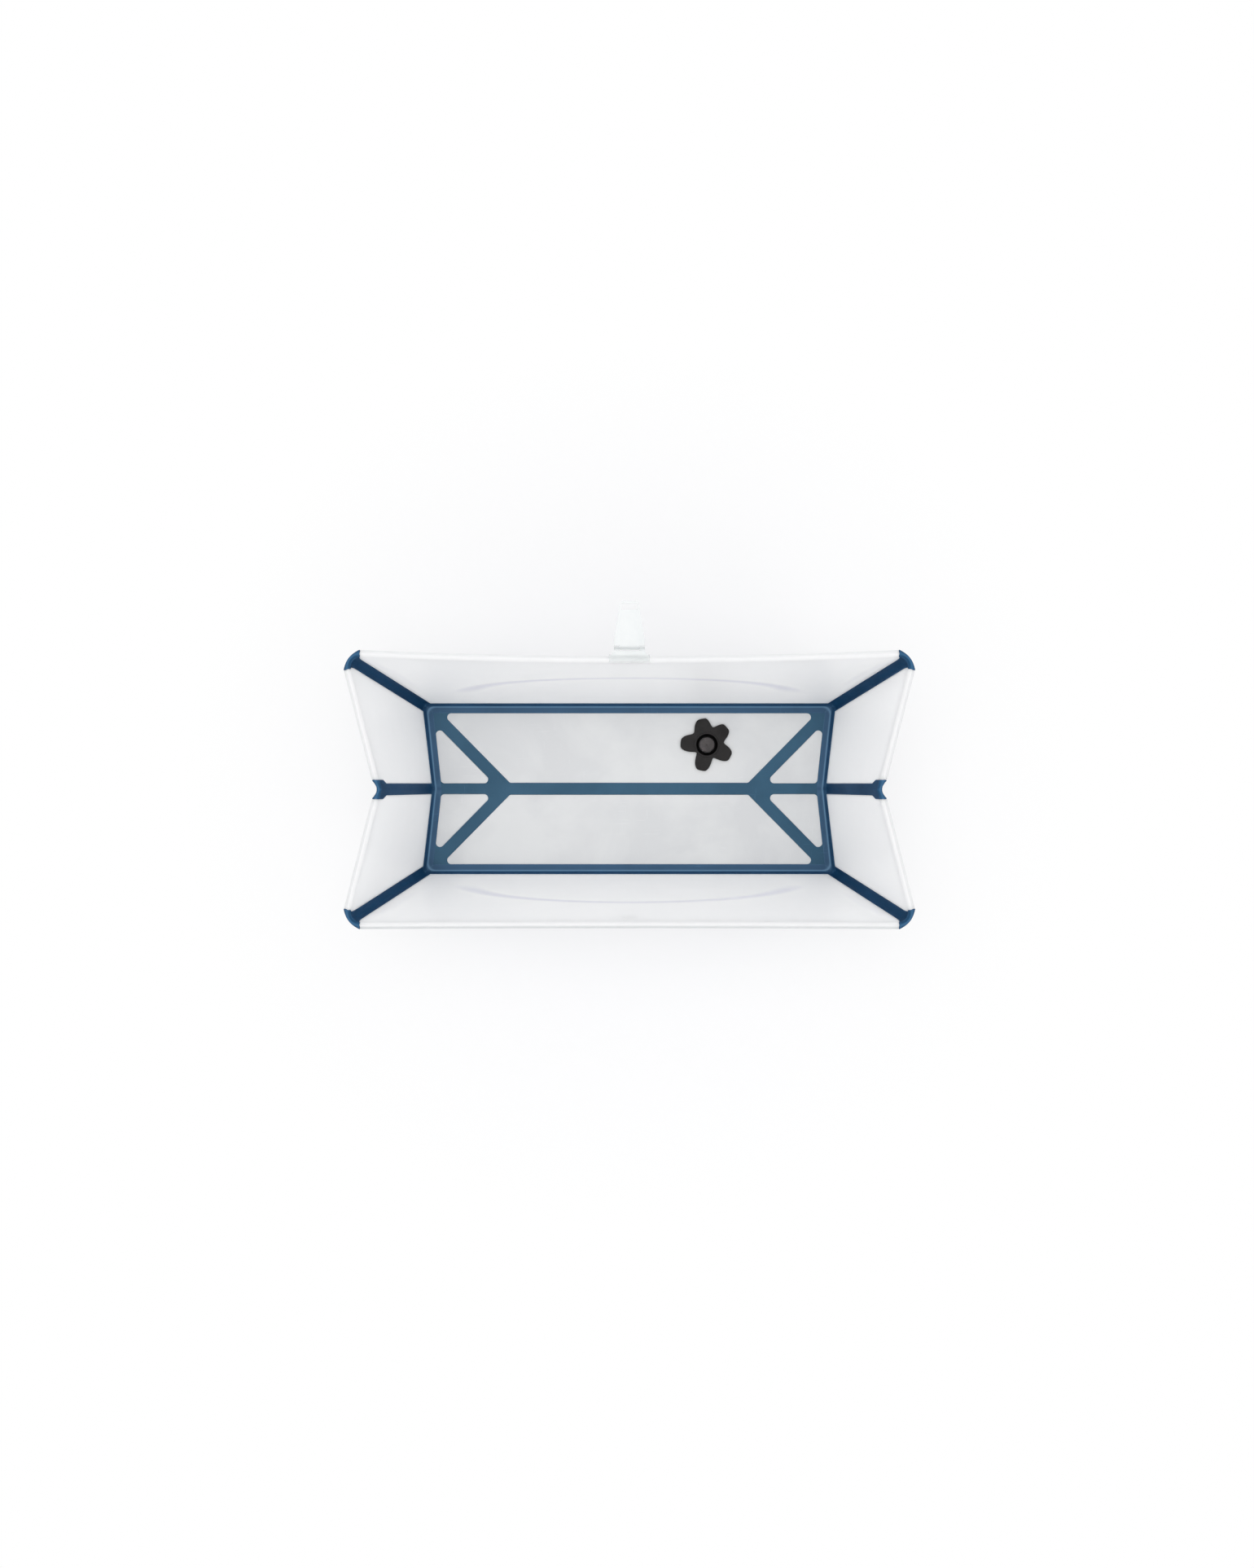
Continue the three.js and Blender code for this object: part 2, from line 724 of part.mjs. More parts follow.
// A frame at the middle of a long wall's rim: x along the rim, y outwards from the sheet, z up the sheet
function rimFrame(sy, bow, down = 0) {
  const foot = at(0, sy * floorCornerY, netZ);
  const top = at(0, sy * rimCornerY, rimZ);
  const up = top.clone().sub(foot);
  const height = up.length();
  up.normalize();
  const out = at(0, sy * up.z, -sy * up.y);
  const frame = new THREE.Group();
  const middle = 0.5;
  frame.position.copy(top).addScaledVector(up, -down);
  frame.position.addScaledVector(out, -bowAt(bow, middle, height - down, height));
  frame.quaternion.setFromRotationMatrix(new THREE.Matrix4().makeBasis(out.clone().cross(up), out, up));
  tub.add(frame);
  return frame;
}

const barAlongX = (radius, length, x, y, z) =>
  new THREE.CylinderGeometry(radius, radius, length, pinSteps)
    .rotateZ(Math.PI / 2).translate(x, y, z);

// A plate from its outline's corners, standing on the given height
function plate(corners, thickness, z) {
  const shape = new THREE.Shape(corners.map(([x, y]) => new THREE.Vector2(x, y)));
  const geometry = new THREE.ExtrudeGeometry(shape, { depth: thickness, bevelEnabled: false });
  return geometry.translate(0, 0, z);
}

const hingeY = lipReach + rootReach;
const hingeZ = sheet + knuckleRadius;
const knuckleWidth = strapBaseWidth * knuckleShare;
const barrelWidth = strapBaseWidth - 2 * knuckleWidth - 2 * gap;
const pinBore = () => barAlongX(pinRadius + gap, strapBaseWidth + 2 * overrun, 0, hingeY, hingeZ);

// The root wraps the lip from its crown to under its drop. Its tongue carries the two ears of the hinge.
function strapRoot() {
  const inner = rollRadius + sheet / 2 + gap;
  const outer = inner + rootThickness;
  const wrapPoint = (radius) => (step) => {
    const angle = Math.PI * (wrapStartShare + (1 - wrapStartShare) * (step / wrapSteps));
    return [rollRadius - radius * Math.cos(angle), -rollRadius + radius * Math.sin(angle)];
  };
  const steps = Array.from({ length: wrapSteps + 1 }, (_, i) => i);
  const under = -lipDepth - gap;
  const wrap = plate([
    ...steps.map(wrapPoint(outer)),
    [rollRadius + outer, under - rootThickness],
    [rollRadius, under - rootThickness],
    [rollRadius, under],
    [rollRadius + inner, under],
    ...steps.toReversed().map(wrapPoint(inner)),
  ], rootWidth, -rootWidth / 2);
  wrap.rotateX(Math.PI / 2).rotateZ(Math.PI / 2);

  const tongueEnd = hingeY - knuckleRadius - 2 * gap;
  const tongueZ = hingeZ - knuckleRadius;
  const tongue = plate([
    [-rootWidth / 2, rollRadius],
    [rootWidth / 2, rollRadius],
    [strapBaseWidth / 2, tongueEnd],
    [-strapBaseWidth / 2, tongueEnd],
  ], rootThickness, tongueZ);
  const ears = [-1, 1].flatMap((side) => {
    const x = side * (strapBaseWidth - knuckleWidth) / 2;
    const armLength = hingeY - tongueEnd + overrun / 2;
    const arm = new THREE.BoxGeometry(knuckleWidth, armLength, rootThickness);
    arm.translate(x, hingeY - armLength / 2, tongueZ + rootThickness / 2);
    return [barAlongX(knuckleRadius, knuckleWidth, x, hingeY, hingeZ), arm];
  });
  return cut(joined(wrap, tongue, ...ears), pinBore());
}

// The blade starts at its barrel, widens beyond the ears and narrows to its round slotted tip.
function strapBlade() {
  const clearY = hingeY + knuckleRadius + 2 * gap;
  const shoulderY = hingeY + strapLength * shoulderShare;
  const tipY = hingeY + strapLength;
  const tipRadius = strapTipWidth * tipRoundShare;
  const roundX = strapTipWidth / 2 - tipRadius;
  const outline = new THREE.Shape([
    new THREE.Vector2(-barrelWidth / 2, hingeY),
    new THREE.Vector2(barrelWidth / 2, hingeY),
    new THREE.Vector2(barrelWidth / 2, clearY),
    new THREE.Vector2(strapBaseWidth / 2, clearY),
    new THREE.Vector2(strapBaseWidth / 2, shoulderY),
  ]);
  outline.absarc(roundX, tipY - tipRadius, tipRadius, 0, Math.PI / 2, false);
  outline.absarc(-roundX, tipY - tipRadius, tipRadius, Math.PI / 2, Math.PI, false);
  outline.lineTo(-strapBaseWidth / 2, shoulderY);
  outline.lineTo(-strapBaseWidth / 2, clearY);
  outline.lineTo(-barrelWidth / 2, clearY);
  const blade = new THREE.ExtrudeGeometry(outline, {
    depth: strapThickness,
    bevelEnabled: false,
    curveSegments: tipSteps,
  });
  blade.translate(0, 0, hingeZ - strapThickness / 2);
  const barrel = barAlongX(knuckleRadius, barrelWidth, 0, hingeY, hingeZ);
  const slot = new THREE.BoxGeometry(slotLength, slotWidth, strapThickness + 2 * overrun);
  slot.translate(0, tipY - slotFromTip - slotWidth / 2, hingeZ);
  return cut(joined(blade, barrel), pinBore(), slot);
}

// The catch is a stud with a hooked head that passes the strap's slot.
function latchCatch() {
  const wallFace = sheet / 2 + gap;
  const headY = wallFace + sheet + catchNeck;
  const base = new THREE.BoxGeometry(catchWidth, sheet, catchHeight + catchLip);
  base.translate(0, wallFace + sheet / 2, 0);
  const neck = new THREE.BoxGeometry(
    catchWidth - 2 * slotPlay, catchNeck + sheet, slotWidth / 2 - slotPlay);
  neck.translate(0, (wallFace + headY + sheet) / 2, 0);
  const head = new THREE.BoxGeometry(catchWidth, sheet, catchHeight);
  head.translate(0, headY + sheet / 2, -catchLip / 2);
  return joined(base, neck, head);
}

function addStrap() {
  const farRim = rimFrame(1, farRimBow);
  addPart('strap_root', strapRoot(), clear, farRim);
  const pin = barAlongX(pinRadius, strapBaseWidth, 0, hingeY, hingeZ);
  addPart('strap_hinge_pin', pin, charcoal, farRim);
  addPart('closing_strap', strapBlade(), clear, farRim);
  addPart('latch_catch', latchCatch(), clear, rimFrame(-1, nearRimBow, catchBelowRim));
}

addWalls();
addStrips();
addFloor();
addDrain();
addStrap();

export default tub;
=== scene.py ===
# %% [markdown]
# # A foldable baby bathtub
# This lesson dresses the imported model of a baby bathtub that folds flat. Twelve stiff panels of
# milky plastic are joined by strips of soft navy rubber. The rubber bends, so the tub can be
# pressed flat for storage. A star-shaped plug closes the drain, and a short clear strap holds the
# folded tub shut.
#
# We load the imported model first. It is fixed: each new piece is made around it. Most pieces ride
# on one of its bodies, and most stand for one of its nodes, which is then hidden.

# %% Load the imported model
import bmesh
import bpy
import math
from mathutils import Matrix, Vector


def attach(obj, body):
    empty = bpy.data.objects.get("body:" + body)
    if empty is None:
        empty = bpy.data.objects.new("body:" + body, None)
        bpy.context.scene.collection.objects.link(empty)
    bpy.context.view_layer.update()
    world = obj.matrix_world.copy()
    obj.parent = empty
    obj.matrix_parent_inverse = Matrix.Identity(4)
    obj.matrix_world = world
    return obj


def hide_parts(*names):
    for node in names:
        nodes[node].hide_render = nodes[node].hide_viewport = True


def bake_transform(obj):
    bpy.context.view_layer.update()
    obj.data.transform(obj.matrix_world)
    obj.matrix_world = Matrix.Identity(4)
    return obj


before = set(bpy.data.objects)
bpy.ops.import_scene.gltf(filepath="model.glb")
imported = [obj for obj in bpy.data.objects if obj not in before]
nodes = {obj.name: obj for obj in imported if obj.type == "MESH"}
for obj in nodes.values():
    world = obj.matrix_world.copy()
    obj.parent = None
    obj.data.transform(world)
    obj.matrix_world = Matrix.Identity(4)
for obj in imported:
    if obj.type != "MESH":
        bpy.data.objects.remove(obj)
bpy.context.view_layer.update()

# %% [markdown]
# ## The net of fold lines
# The tub is one folding net. Its fold lines meet at a few points, and every panel and strip is
# placed from them. Only the right far quarter is given, because the tub is the same on all four
# corners. The lines run at mid thickness, so that panels and strips can lie on them with half of
# their thickness on each side.

# %% The points of the net
MM = 0.001
FLOOR_CORNER = Vector((344, 141.2)) * MM
RIM_CORNER = Vector((412, 194.5)) * MM
END_FOOT_X = 329 * MM
END_TOP_X = 362 * MM
MEET_X = 205 * MM
NET_Z = 1.5 * MM
WALL_HEIGHT = 276 * MM
SHEET = 2 * MM
RUBBER = 3 * MM
GAP = 0.3 * MM
TOUCH = 0.01 * MM  # points closer than this are one

SIDES = {"far": 1, "near": -1}
ENDS = {"right": 1, "left": -1}


def share_at(z):
    """How far up the wall a height is, from 0 at the floor to 1 at the rim."""
    return (z - NET_Z) / WALL_HEIGHT


def corner_at(z):
    """Where the right far corner line is at a height, seen from above."""
    return FLOOR_CORNER.lerp(RIM_CORNER, share_at(z))


def crease_at(z):
    """Where the crease up the middle of the right end is at a height."""
    return Vector((END_FOOT_X + (END_TOP_X - END_FOOT_X) * share_at(z), 0))


def crossing(p, u, q, v):
    """Where two lines in plan cross, each given by a point and a direction."""
    return p + u * ((q - p).cross(v) / u.cross(v))


WALL_LEAN = math.atan2(RIM_CORNER.y - FLOOR_CORNER.y, WALL_HEIGHT)
WALL_LENGTH = WALL_HEIGHT / math.cos(WALL_LEAN)
print("walls lean", round(math.degrees(WALL_LEAN), 1), "degrees")

# %% [markdown]
# ## Working in edit mode from a script
# Blender's tools act on whatever is selected, and the loaded model comes in selected. So each
# step starts with nothing selected, and picks its own points, edges or faces by where they are.
# A modifier is applied as soon as it is set, and the finished piece keeps a plain mesh whose
# place is in its points.

# %% Helpers for selecting and applying


def only(piece):
    """Selects one object and makes it the active one."""
    bpy.ops.object.select_all(action="DESELECT")
    piece.select_set(True)
    bpy.context.view_layer.objects.active = piece


def edit(piece):
    """Goes into edit mode with nothing selected."""
    only(piece)
    bpy.ops.object.mode_set(mode="EDIT")
    bpy.ops.mesh.select_mode(type="VERT")
    bpy.ops.mesh.select_all(action="DESELECT")


def leave():
    bpy.ops.object.mode_set(mode="OBJECT")


def pick_all():
    bpy.ops.mesh.select_all(action="SELECT")


def pick(piece, kind, wanted):
    """Selects the points or the edges that pass the test, and what lies between them."""
    bpy.ops.mesh.select_mode(type=kind)
    mesh = bmesh.from_edit_mesh(piece.data)
    for part in mesh.verts if kind == "VERT" else mesh.edges:
        part.select = bool(wanted(part))
    mesh.select_flush_mode()
    bmesh.update_edit_mesh(piece.data)


def extrude(step):
    bpy.ops.mesh.extrude_region_move(TRANSFORM_OT_translate={"value": step})


def settle(piece, name):
    """Names a new object and moves its place, turn and size into its mesh."""
    only(piece)
    bpy.ops.object.transform_apply(location=True, rotation=True, scale=True)
    piece.name = piece.data.name = name
    return piece


def add(primitive, name, **settings):
    """Adds a primitive while nothing else is selected."""
    bpy.ops.object.select_all(action="DESELECT")
    primitive(**settings)
    return settle(bpy.context.object, name)


def modify(piece, kind, **settings):
    """Adds a modifier, sets it and applies it."""
    only(piece)
    modifier = piece.modifiers.new(kind.title(), kind)
    for name, value in settings.items():
        setattr(modifier, name, value)
    bpy.ops.object.modifier_apply(modifier=modifier.name)


def tidy_normals(piece):
    """Merges doubled points and turns the faces outwards."""
    edit(piece)
    pick_all()
    bpy.ops.mesh.remove_doubles(threshold=TOUCH)
    bpy.ops.mesh.normals_make_consistent(inside=False)
    leave()


def smooth(piece, angle):
    """Shades as smooth where faces meet at less than the angle, in degrees."""
    only(piece)
    bpy.ops.object.shade_smooth_by_angle(angle=math.radians(angle))


def soften(piece, width, angle=35, segments=2, method="ANGLE"):
    """Rounds the sharp or the marked edges."""
    modify(piece, "BEVEL", width=width, segments=segments, limit_method=method,
           angle_limit=math.radians(angle), use_clamp_overlap=True, harden_normals=False)
    smooth(piece, angle)


def paint(piece, name, value):
    """Stores a number on each point, which a material can read as a mask."""
    layer = piece.data.attributes.new(name, "FLOAT", "POINT")
    for vert in piece.data.vertices:
        layer.data[vert.index].value = value(vert.co)


def mark_borders(piece, seam=lambda place: False):
    """Marks the open edges for a later bevel, but not where the piece meets its other half."""
    edit(piece)
    pick(piece, "EDGE", lambda edge: edge.is_boundary and not all(
        seam(vert.co) for vert in edge.verts))
    bpy.ops.transform.edge_bevelweight(value=1)
    leave()
    paint(piece, "even", seam)


def thicken(piece, thickness):
    """Gives a surface its thickness, half on each side."""
    modify(piece, "SOLIDIFY", thickness=thickness, offset=0, use_even_offset=True)


def level_flat_faces(piece):
    """Lets the large flat faces set the shading, and keeps edge wear off them."""
    modify(piece, "WEIGHTED_NORMAL", keep_sharp=True, weight=100)
    paint(piece, "even", lambda place: 1)


def mirrored(piece, name, x=1, y=1):
    """A copy with a mesh of its own, mirrored across the middle of the tub."""
    only(piece)
    bpy.ops.object.duplicate(linked=False)
    copy = settle(bpy.context.object, name)
    edit(copy)
    pick_all()
    bpy.ops.transform.resize(value=(x, y, 1), center_override=(0, 0, 0))
    if x * y < 0:
        bpy.ops.mesh.flip_normals()
    leave()
    return copy


def quarters(piece, ends=tuple(ENDS)):
    """The far right piece and its mirrored copies, each with its side and end and their signs."""
    for side, y in SIDES.items():
        for end in ends:
            x = ENDS[end]
            name = piece.name.replace("far_right", f"{side}_{end}")
            yield (piece if x == y == 1 else mirrored(piece, name, x, y)), side, end, x, y


def finish(piece, body, slot, material, *replaced):
    """Gives a piece its material, hides the nodes it stands for, sets it on its body if it has one,
    and says what it is. The slot is not used.
    """
    piece.data.materials.clear()
    piece.data.materials.append(material)
    if replaced:
        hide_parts(*replaced)
    if body:
        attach(piece, body)
    print(piece.name, "on", body, "faces", len(piece.data.polygons))


# %% [markdown]
# ## The camera
# The camera looks straight down from two metres up, so the rim looks larger than the floor and the
# inner faces of all the walls show. The focal length comes from that perspective: the rim is
# 276 mm closer to the camera than the floor, and shows 16 per cent larger.

# %% The camera
CAMERA_PLACE = Vector((-3.5, 8, 1980)) * MM
FOCAL_LENGTH = 26.95

camera = bpy.data.objects.new("Camera", bpy.data.cameras.new("Camera"))
bpy.context.scene.collection.objects.link(camera)
camera.location = CAMERA_PLACE
camera.data.lens = FOCAL_LENGTH
camera.data.sensor_width = 36
bpy.context.scene.camera = camera
print("camera", [round(value, 4) for value in camera.location])

# %% [markdown]
# ## Building looks from nodes
# A material is a small graph, and so is the world. These helpers place a node, set its plain
# values and link the rest, so that each graph below reads as a list of what it does.

# %% Helpers for node graphs
FLOAT, VECTOR = "NodeSocketFloat", "NodeSocketVector"


def linear(code):
    """A colour that is written as on a screen, such as 8FA0B0, in the numbers that nodes use."""
    parts = [int(code[i:i + 2], 16) / 255 for i in (0, 2, 4)]
    return (*[p / 12.92 if p <= 0.04045 else ((p + 0.055) / 1.055) ** 2.4 for p in parts], 1)


def put(tree, kind, settings=(), **inputs):
    """Adds a node. An input is a plain value, or the output socket that it is linked to."""
    node = tree.nodes.new(kind)
    for name, value in dict(settings).items():
        setattr(node, name, value)
    for name, value in inputs.items():
        key = int(name[1:]) if name[0] == "i" and name[1:].isdigit() else name.replace("_", " ")
        if isinstance(value, bpy.types.NodeSocket):
            tree.links.new(value, node.inputs[key])
        else:
            node.inputs[key].default_value = value
    return node


def new_group(name, inputs, outputs):
    """A shader node group with named sockets, and its two end nodes."""
    tree = bpy.data.node_groups.new(name, "ShaderNodeTree")
    for label, kind, value in inputs:
        socket = tree.interface.new_socket(name=label, in_out="INPUT", socket_type=kind)
        if value is not None:
            socket.default_value = value
    for label in outputs:
        tree.interface.new_socket(name=label, in_out="OUTPUT", socket_type=FLOAT)
    return tree, tree.nodes.new("NodeGroupInput").outputs, tree.nodes.new("NodeGroupOutput").inputs


def math_node(tree, operation, a, b=0.0, c=0.0, clamp=False):
    settings = {"operation": operation, "use_clamp": clamp}
    return put(tree, "ShaderNodeMath", settings, i0=a, i1=b, i2=c).outputs[0]


def ramp_between(tree, value, low, high, to_low=0.0, to_high=1.0):
    """Stretches the part of a value between low and high, and holds it outside."""
    node = put(tree, "ShaderNodeMapRange", {"clamp": True}, Value=value, From_Min=low,
               From_Max=high, To_Min=to_low, To_Max=to_high)
    return node.outputs["Result"]


def mix_colours(tree, factor, a, b):
    return put(tree, "ShaderNodeMix", {"data_type": "RGBA"}, i0=factor, i6=a, i7=b).outputs[2]


# %% [markdown]
# ## Soft studio light
# A wide lamp overhead and a pale world give even light with soft shadows. The levels are set so
# that a surface shows about the colour that is written for it. A second, weaker lamp from the side
# keeps the rubber from looking flat.

# %% The lamps and the world
WORLD_STRENGTH = 0.96
LAMPS = {  # place, size, power, aim
    "overhead_lamp": ((-0.4, 0.3, 3.2), 2.2, 19, (0, 0, 0)),
    "side_lamp": ((1.8, -2.4, 1.8), 1.8, 9, (0, 0, 0.1)),
}
for name, (place, size, power, aim) in LAMPS.items():
    lamp = bpy.data.lights.new(name, "AREA")
    lamp.shape = "SQUARE"
    lamp.size = size
    lamp.energy = power
    holder = bpy.data.objects.new(name, lamp)
    bpy.context.scene.collection.objects.link(holder)
    holder.location = place
    holder.rotation_euler = (Vector(aim) - Vector(place)).to_track_quat("-Z", "Y").to_euler()

bpy.context.scene.view_settings.view_transform = "Standard"
world = bpy.data.worlds.new("studio")
bpy.context.scene.world = world
world.use_nodes = True
sky = world.node_tree
sky.nodes.clear()
rays = put(sky, "ShaderNodeLightPath").outputs
sky_light = put(sky, "ShaderNodeBackground", Color=(0.996, 0.998, 1, 1), Strength=WORLD_STRENGTH)
sky_seen = put(sky, "ShaderNodeBackground", Color=(1, 1, 1, 1), Strength=1)
sky_mix = put(sky, "ShaderNodeMixShader", i0=rays["Is Camera Ray"], i1=sky_light.outputs[0],
              i2=sky_seen.outputs[0])
put(sky, "ShaderNodeOutputWorld", Surface=sky_mix.outputs[0])
print("world strength", WORLD_STRENGTH)

# %% [markdown]
# ## Effects that several materials share
# Moulded plastic and rubber are never quite even. Four effects are made once as node groups:
# a fine satin grain from the mould, slow clouds of tone where the wall thickness or the mix of
# the plastic varies, hairline rub marks from handling, and a lighter line on edges that are
# touched most. Each material then sets its own scale and strength.

# %% The satin grain group
grain, g_in, g_out = new_group(
    "satin_grain", [("Vector", VECTOR, None), ("Scale", FLOAT, 900.0), ("Pebble", FLOAT, 0.5)],
    ["Height", "Tone"])
grain_fine = put(grain, "ShaderNodeTexNoise", Vector=g_in["Vector"], Scale=g_in["Scale"],
                 Detail=3.0, Roughness=0.6)
grain_cells = put(grain, "ShaderNodeTexVoronoi", {"feature": "SMOOTH_F1"}, Vector=g_in["Vector"],
                  Scale=g_in["Scale"], Smoothness=0.7)
grain_mix = put(grain, "ShaderNodeMix", {"data_type": "FLOAT"}, i0=g_in["Pebble"],
                i2=grain_fine.outputs["Fac"], i3=grain_cells.outputs["Distance"])
grain.links.new(grain_mix.outputs[0], g_out["Height"])
grain.links.new(ramp_between(grain, grain_fine.outputs["Fac"], 0.3, 0.7), g_out["Tone"])

# %% The cloud group
clouds, c_in, c_out = new_group(
    "slow_clouds", [("Vector", VECTOR, None), ("Scale", FLOAT, 6.0), ("Sharpness", FLOAT, 0.5)],
    ["Mask"])
cloud_noise = put(clouds, "ShaderNodeTexNoise", Vector=c_in["Vector"], Scale=c_in["Scale"],
                  Detail=4.0, Roughness=0.55, Distortion=0.4)
cloud_low = math_node(clouds, "MULTIPLY_ADD", c_in["Sharpness"], 0.2, 0.3)
cloud_high = math_node(clouds, "MULTIPLY_ADD", c_in["Sharpness"], -0.2, 0.7)
clouds.links.new(ramp_between(clouds, cloud_noise.outputs["Fac"], cloud_low, cloud_high),
                 c_out["Mask"])

# %% The rub mark group
rubs, r_in, r_out = new_group(
    "rub_marks", [("Vector", VECTOR, None), ("Scale", FLOAT, 30.0), ("Amount", FLOAT, 0.3)],
    ["Mask"])
marks = []
for turn, stretch in ((0.4, (1.0, 14.0, 1.0)), (1.9, (16.0, 1.0, 2.0))):
    turned = put(rubs, "ShaderNodeMapping", Vector=r_in["Vector"], Rotation=(turn, turn / 3, turn),
                 Scale=stretch)
    streaks = put(rubs, "ShaderNodeTexNoise", Vector=turned.outputs[0], Scale=r_in["Scale"],
                  Detail=2.0, Roughness=0.5)
    marks.append(ramp_between(rubs, streaks.outputs["Fac"], 0.66, 0.76))
patches = put(rubs, "ShaderNodeTexNoise", Vector=r_in["Vector"], Scale=9.0, Detail=1.0)
worn_here = ramp_between(rubs, patches.outputs["Fac"], 0.45, 0.65)
here = math_node(rubs, "MULTIPLY", math_node(rubs, "MAXIMUM", *marks), worn_here)
rubs.links.new(math_node(rubs, "MULTIPLY", here, r_in["Amount"]), r_out["Mask"])

# %% The edge group
edges, e_in, e_out = new_group("touched_edges", [("Reach", FLOAT, 0.06)], ["Mask"])
edge_shape = put(edges, "ShaderNodeNewGeometry")
edge_high = math_node(edges, "ADD", e_in["Reach"], 0.5)
edges.links.new(ramp_between(edges, edge_shape.outputs["Pointiness"], 0.51, edge_high),
                e_out["Mask"])
print("node groups", [group.name for group in bpy.data.node_groups])

# %% [markdown]
# ## The milky panels
# The panels are stiff polypropylene, frosted so that light comes through but shapes do not. A
# clear glass shader would be wrong: light spreads inside the sheet. So the base is nearly white,
# with some light carried under the surface and a little let through, and the satin grain breaks
# up the highlights. The clouds shift the tone by a few per cent. Painted shade is added on the
# pieces: cool along the edge of the arch and on the sweeps, where the relief turns from the light,
# and grey on the outer half of the lip, which its drop hides from the light. The floor panels get
# a greyer copy of the same plastic, a painted shade for the little light that reaches them.

# %% A function for moulded finishes
EDGE_WEAR = 0.5
GLOSS_SPREAD = 0.05
CLOUD_DULLS = 0.06
RUB_DULLS = 0.2
BUMP_STRENGTH = 0.35


def moulded(name, base, cloud, rub, edge, grain_scale, grain_depth, rough, marks_amount=0.3,
            cloud_scale=6.0, pebble=0.5, rub_scale=30.0, painted=None, **constants):
    """A moulded material: base and cloud colours, rub mark and edge colours, grain and gloss.

    painted gives attributes of the piece, each with the colour that shows where it is 1.
    """
    material = bpy.data.materials.new(name)
    material.use_nodes = True
    tree = material.node_tree
    tree.nodes.clear()
    place = put(tree, "ShaderNodeTexCoord").outputs["Object"]

    def shared(group, **inputs):
        return put(tree, "ShaderNodeGroup", {"node_tree": group}, **inputs).outputs

    def painted_share(attribute):
        return put(tree, "ShaderNodeAttribute", {"attribute_name": attribute}).outputs["Fac"]

    fine = shared(grain, Vector=place, Scale=grain_scale, Pebble=pebble)
    cloudy = shared(clouds, Vector=place, Scale=cloud_scale)["Mask"]
    rubbed = shared(rubs, Vector=place, Scale=rub_scale, Amount=marks_amount)["Mask"]
    even = math_node(tree, "MULTIPLY", painted_share("even"), EDGE_WEAR)
    touched = math_node(tree, "MULTIPLY", shared(edges)["Mask"],
                        math_node(tree, "SUBTRACT", EDGE_WEAR, even))
    colour = mix_colours(tree, cloudy, linear(base), linear(cloud))
    colour = mix_colours(tree, rubbed, colour, linear(rub))
    colour = mix_colours(tree, touched, colour, linear(edge))
    for attribute, shade in (painted or {}).items():
        colour = mix_colours(tree, painted_share(attribute), colour, linear(shade))
    gloss = ramp_between(tree, fine["Tone"], 0, 1, rough - GLOSS_SPREAD, rough + GLOSS_SPREAD)
    gloss = math_node(tree, "ADD", gloss, math_node(tree, "MULTIPLY", cloudy, CLOUD_DULLS))
    gloss = math_node(tree, "ADD", gloss, math_node(tree, "MULTIPLY", rubbed, RUB_DULLS),
                      clamp=True)
    bump = put(tree, "ShaderNodeBump", Height=fine["Height"], Strength=BUMP_STRENGTH,
               Distance=grain_depth)
    shader = put(tree, "ShaderNodeBsdfPrincipled", Base_Color=colour, Roughness=gloss,
                 Normal=bump.outputs["Normal"], **constants)
    put(tree, "ShaderNodeOutputMaterial", Surface=shader.outputs["BSDF"])
    print("material", name, "nodes", len(tree.nodes))
    return material


# %% The milky plastic
MILKY = {"Subsurface_Radius": (1, 1, 1), "IOR": 1.49, "Specular_IOR_Level": 0.4}
# The two painted colours of the walls are painted shade: cool along the arch's edge and the sweeps,
# and grey on the outer half of the lip.
milky_panel = moulded(
    "milky_panel", base="FDFDFE", cloud="F8F9FA", rub="FEFEFF", edge="FEFEFF",
    grain_scale=700.0, grain_depth=0.00008, rough=0.36, marks_amount=0.25, cloud_scale=5.0,
    painted={"ledge": "DCDCE9", "lip": "C6C8CA"},
    Subsurface_Weight=0.8, Subsurface_Scale=0.015, Transmission_Weight=0.02, **MILKY)
# The floor panels are the same plastic; their greyer mix is painted shade, for the little light that
# reaches them.
milky_floor = moulded(
    "milky_floor", base="E6E7E7", cloud="DEDFE0", rub="F2F2F3", edge="F6F6F7",
    grain_scale=600.0, grain_depth=0.0001, rough=0.42, marks_amount=0.4, cloud_scale=7.0,
    Subsurface_Weight=0.3, Subsurface_Scale=0.006, **MILKY)

# %% [markdown]
# ## The rubbers
# The strips are thermoplastic rubber in navy. It is satin, not shiny, with a soft highlight where
# it bends. The strips in the floor catch the light from above and look greyer than the upright
# ones, so they get a paler mix of their own, a painted light; they also wear more, and carry more
# rub marks. The strips round the floor get a paler mix too, painted light against the shade of
# the walls. A painted highlight runs along their hollow, with painted light on the floor flange,
# and another along the crest of the caps on the rim: both are painted on the pieces, since they
# follow the shape. The plug is a softer charcoal rubber with a coarser grain. Its groove is painted
# near black, a painted shade where light does not reach, and its knob is a lighter, glossier grey.

# %% The navy and the charcoal rubber
NAVY = {"grain_scale": 1400.0, "grain_depth": 0.00006, "rough": 0.42, "cloud_scale": 9.0,
        "pebble": 0.3, "IOR": 1.5}
# Its painted colour is a painted highlight on the caps at the rim, most along their crest.
navy_rubber = moulded(
    "navy_rubber", base="163F62", cloud="123858", rub="2C557B", edge="3A648C",
    marks_amount=0.35, painted={"crest": "5C8CB2"}, Specular_IOR_Level=0.06, **NAVY)
# A paler mix than the upright rubber, painted light against the shade of the walls, with a painted
# highlight in the hollow and painted light on the floor flange.
navy_edge_rubber = moulded(
    "navy_edge_rubber", base="22486A", cloud="1E4262", rub="4C7896", edge="4C7898",
    marks_amount=0.5, painted={"bend": "6C94B4"}, Specular_IOR_Level=0.2, **NAVY)
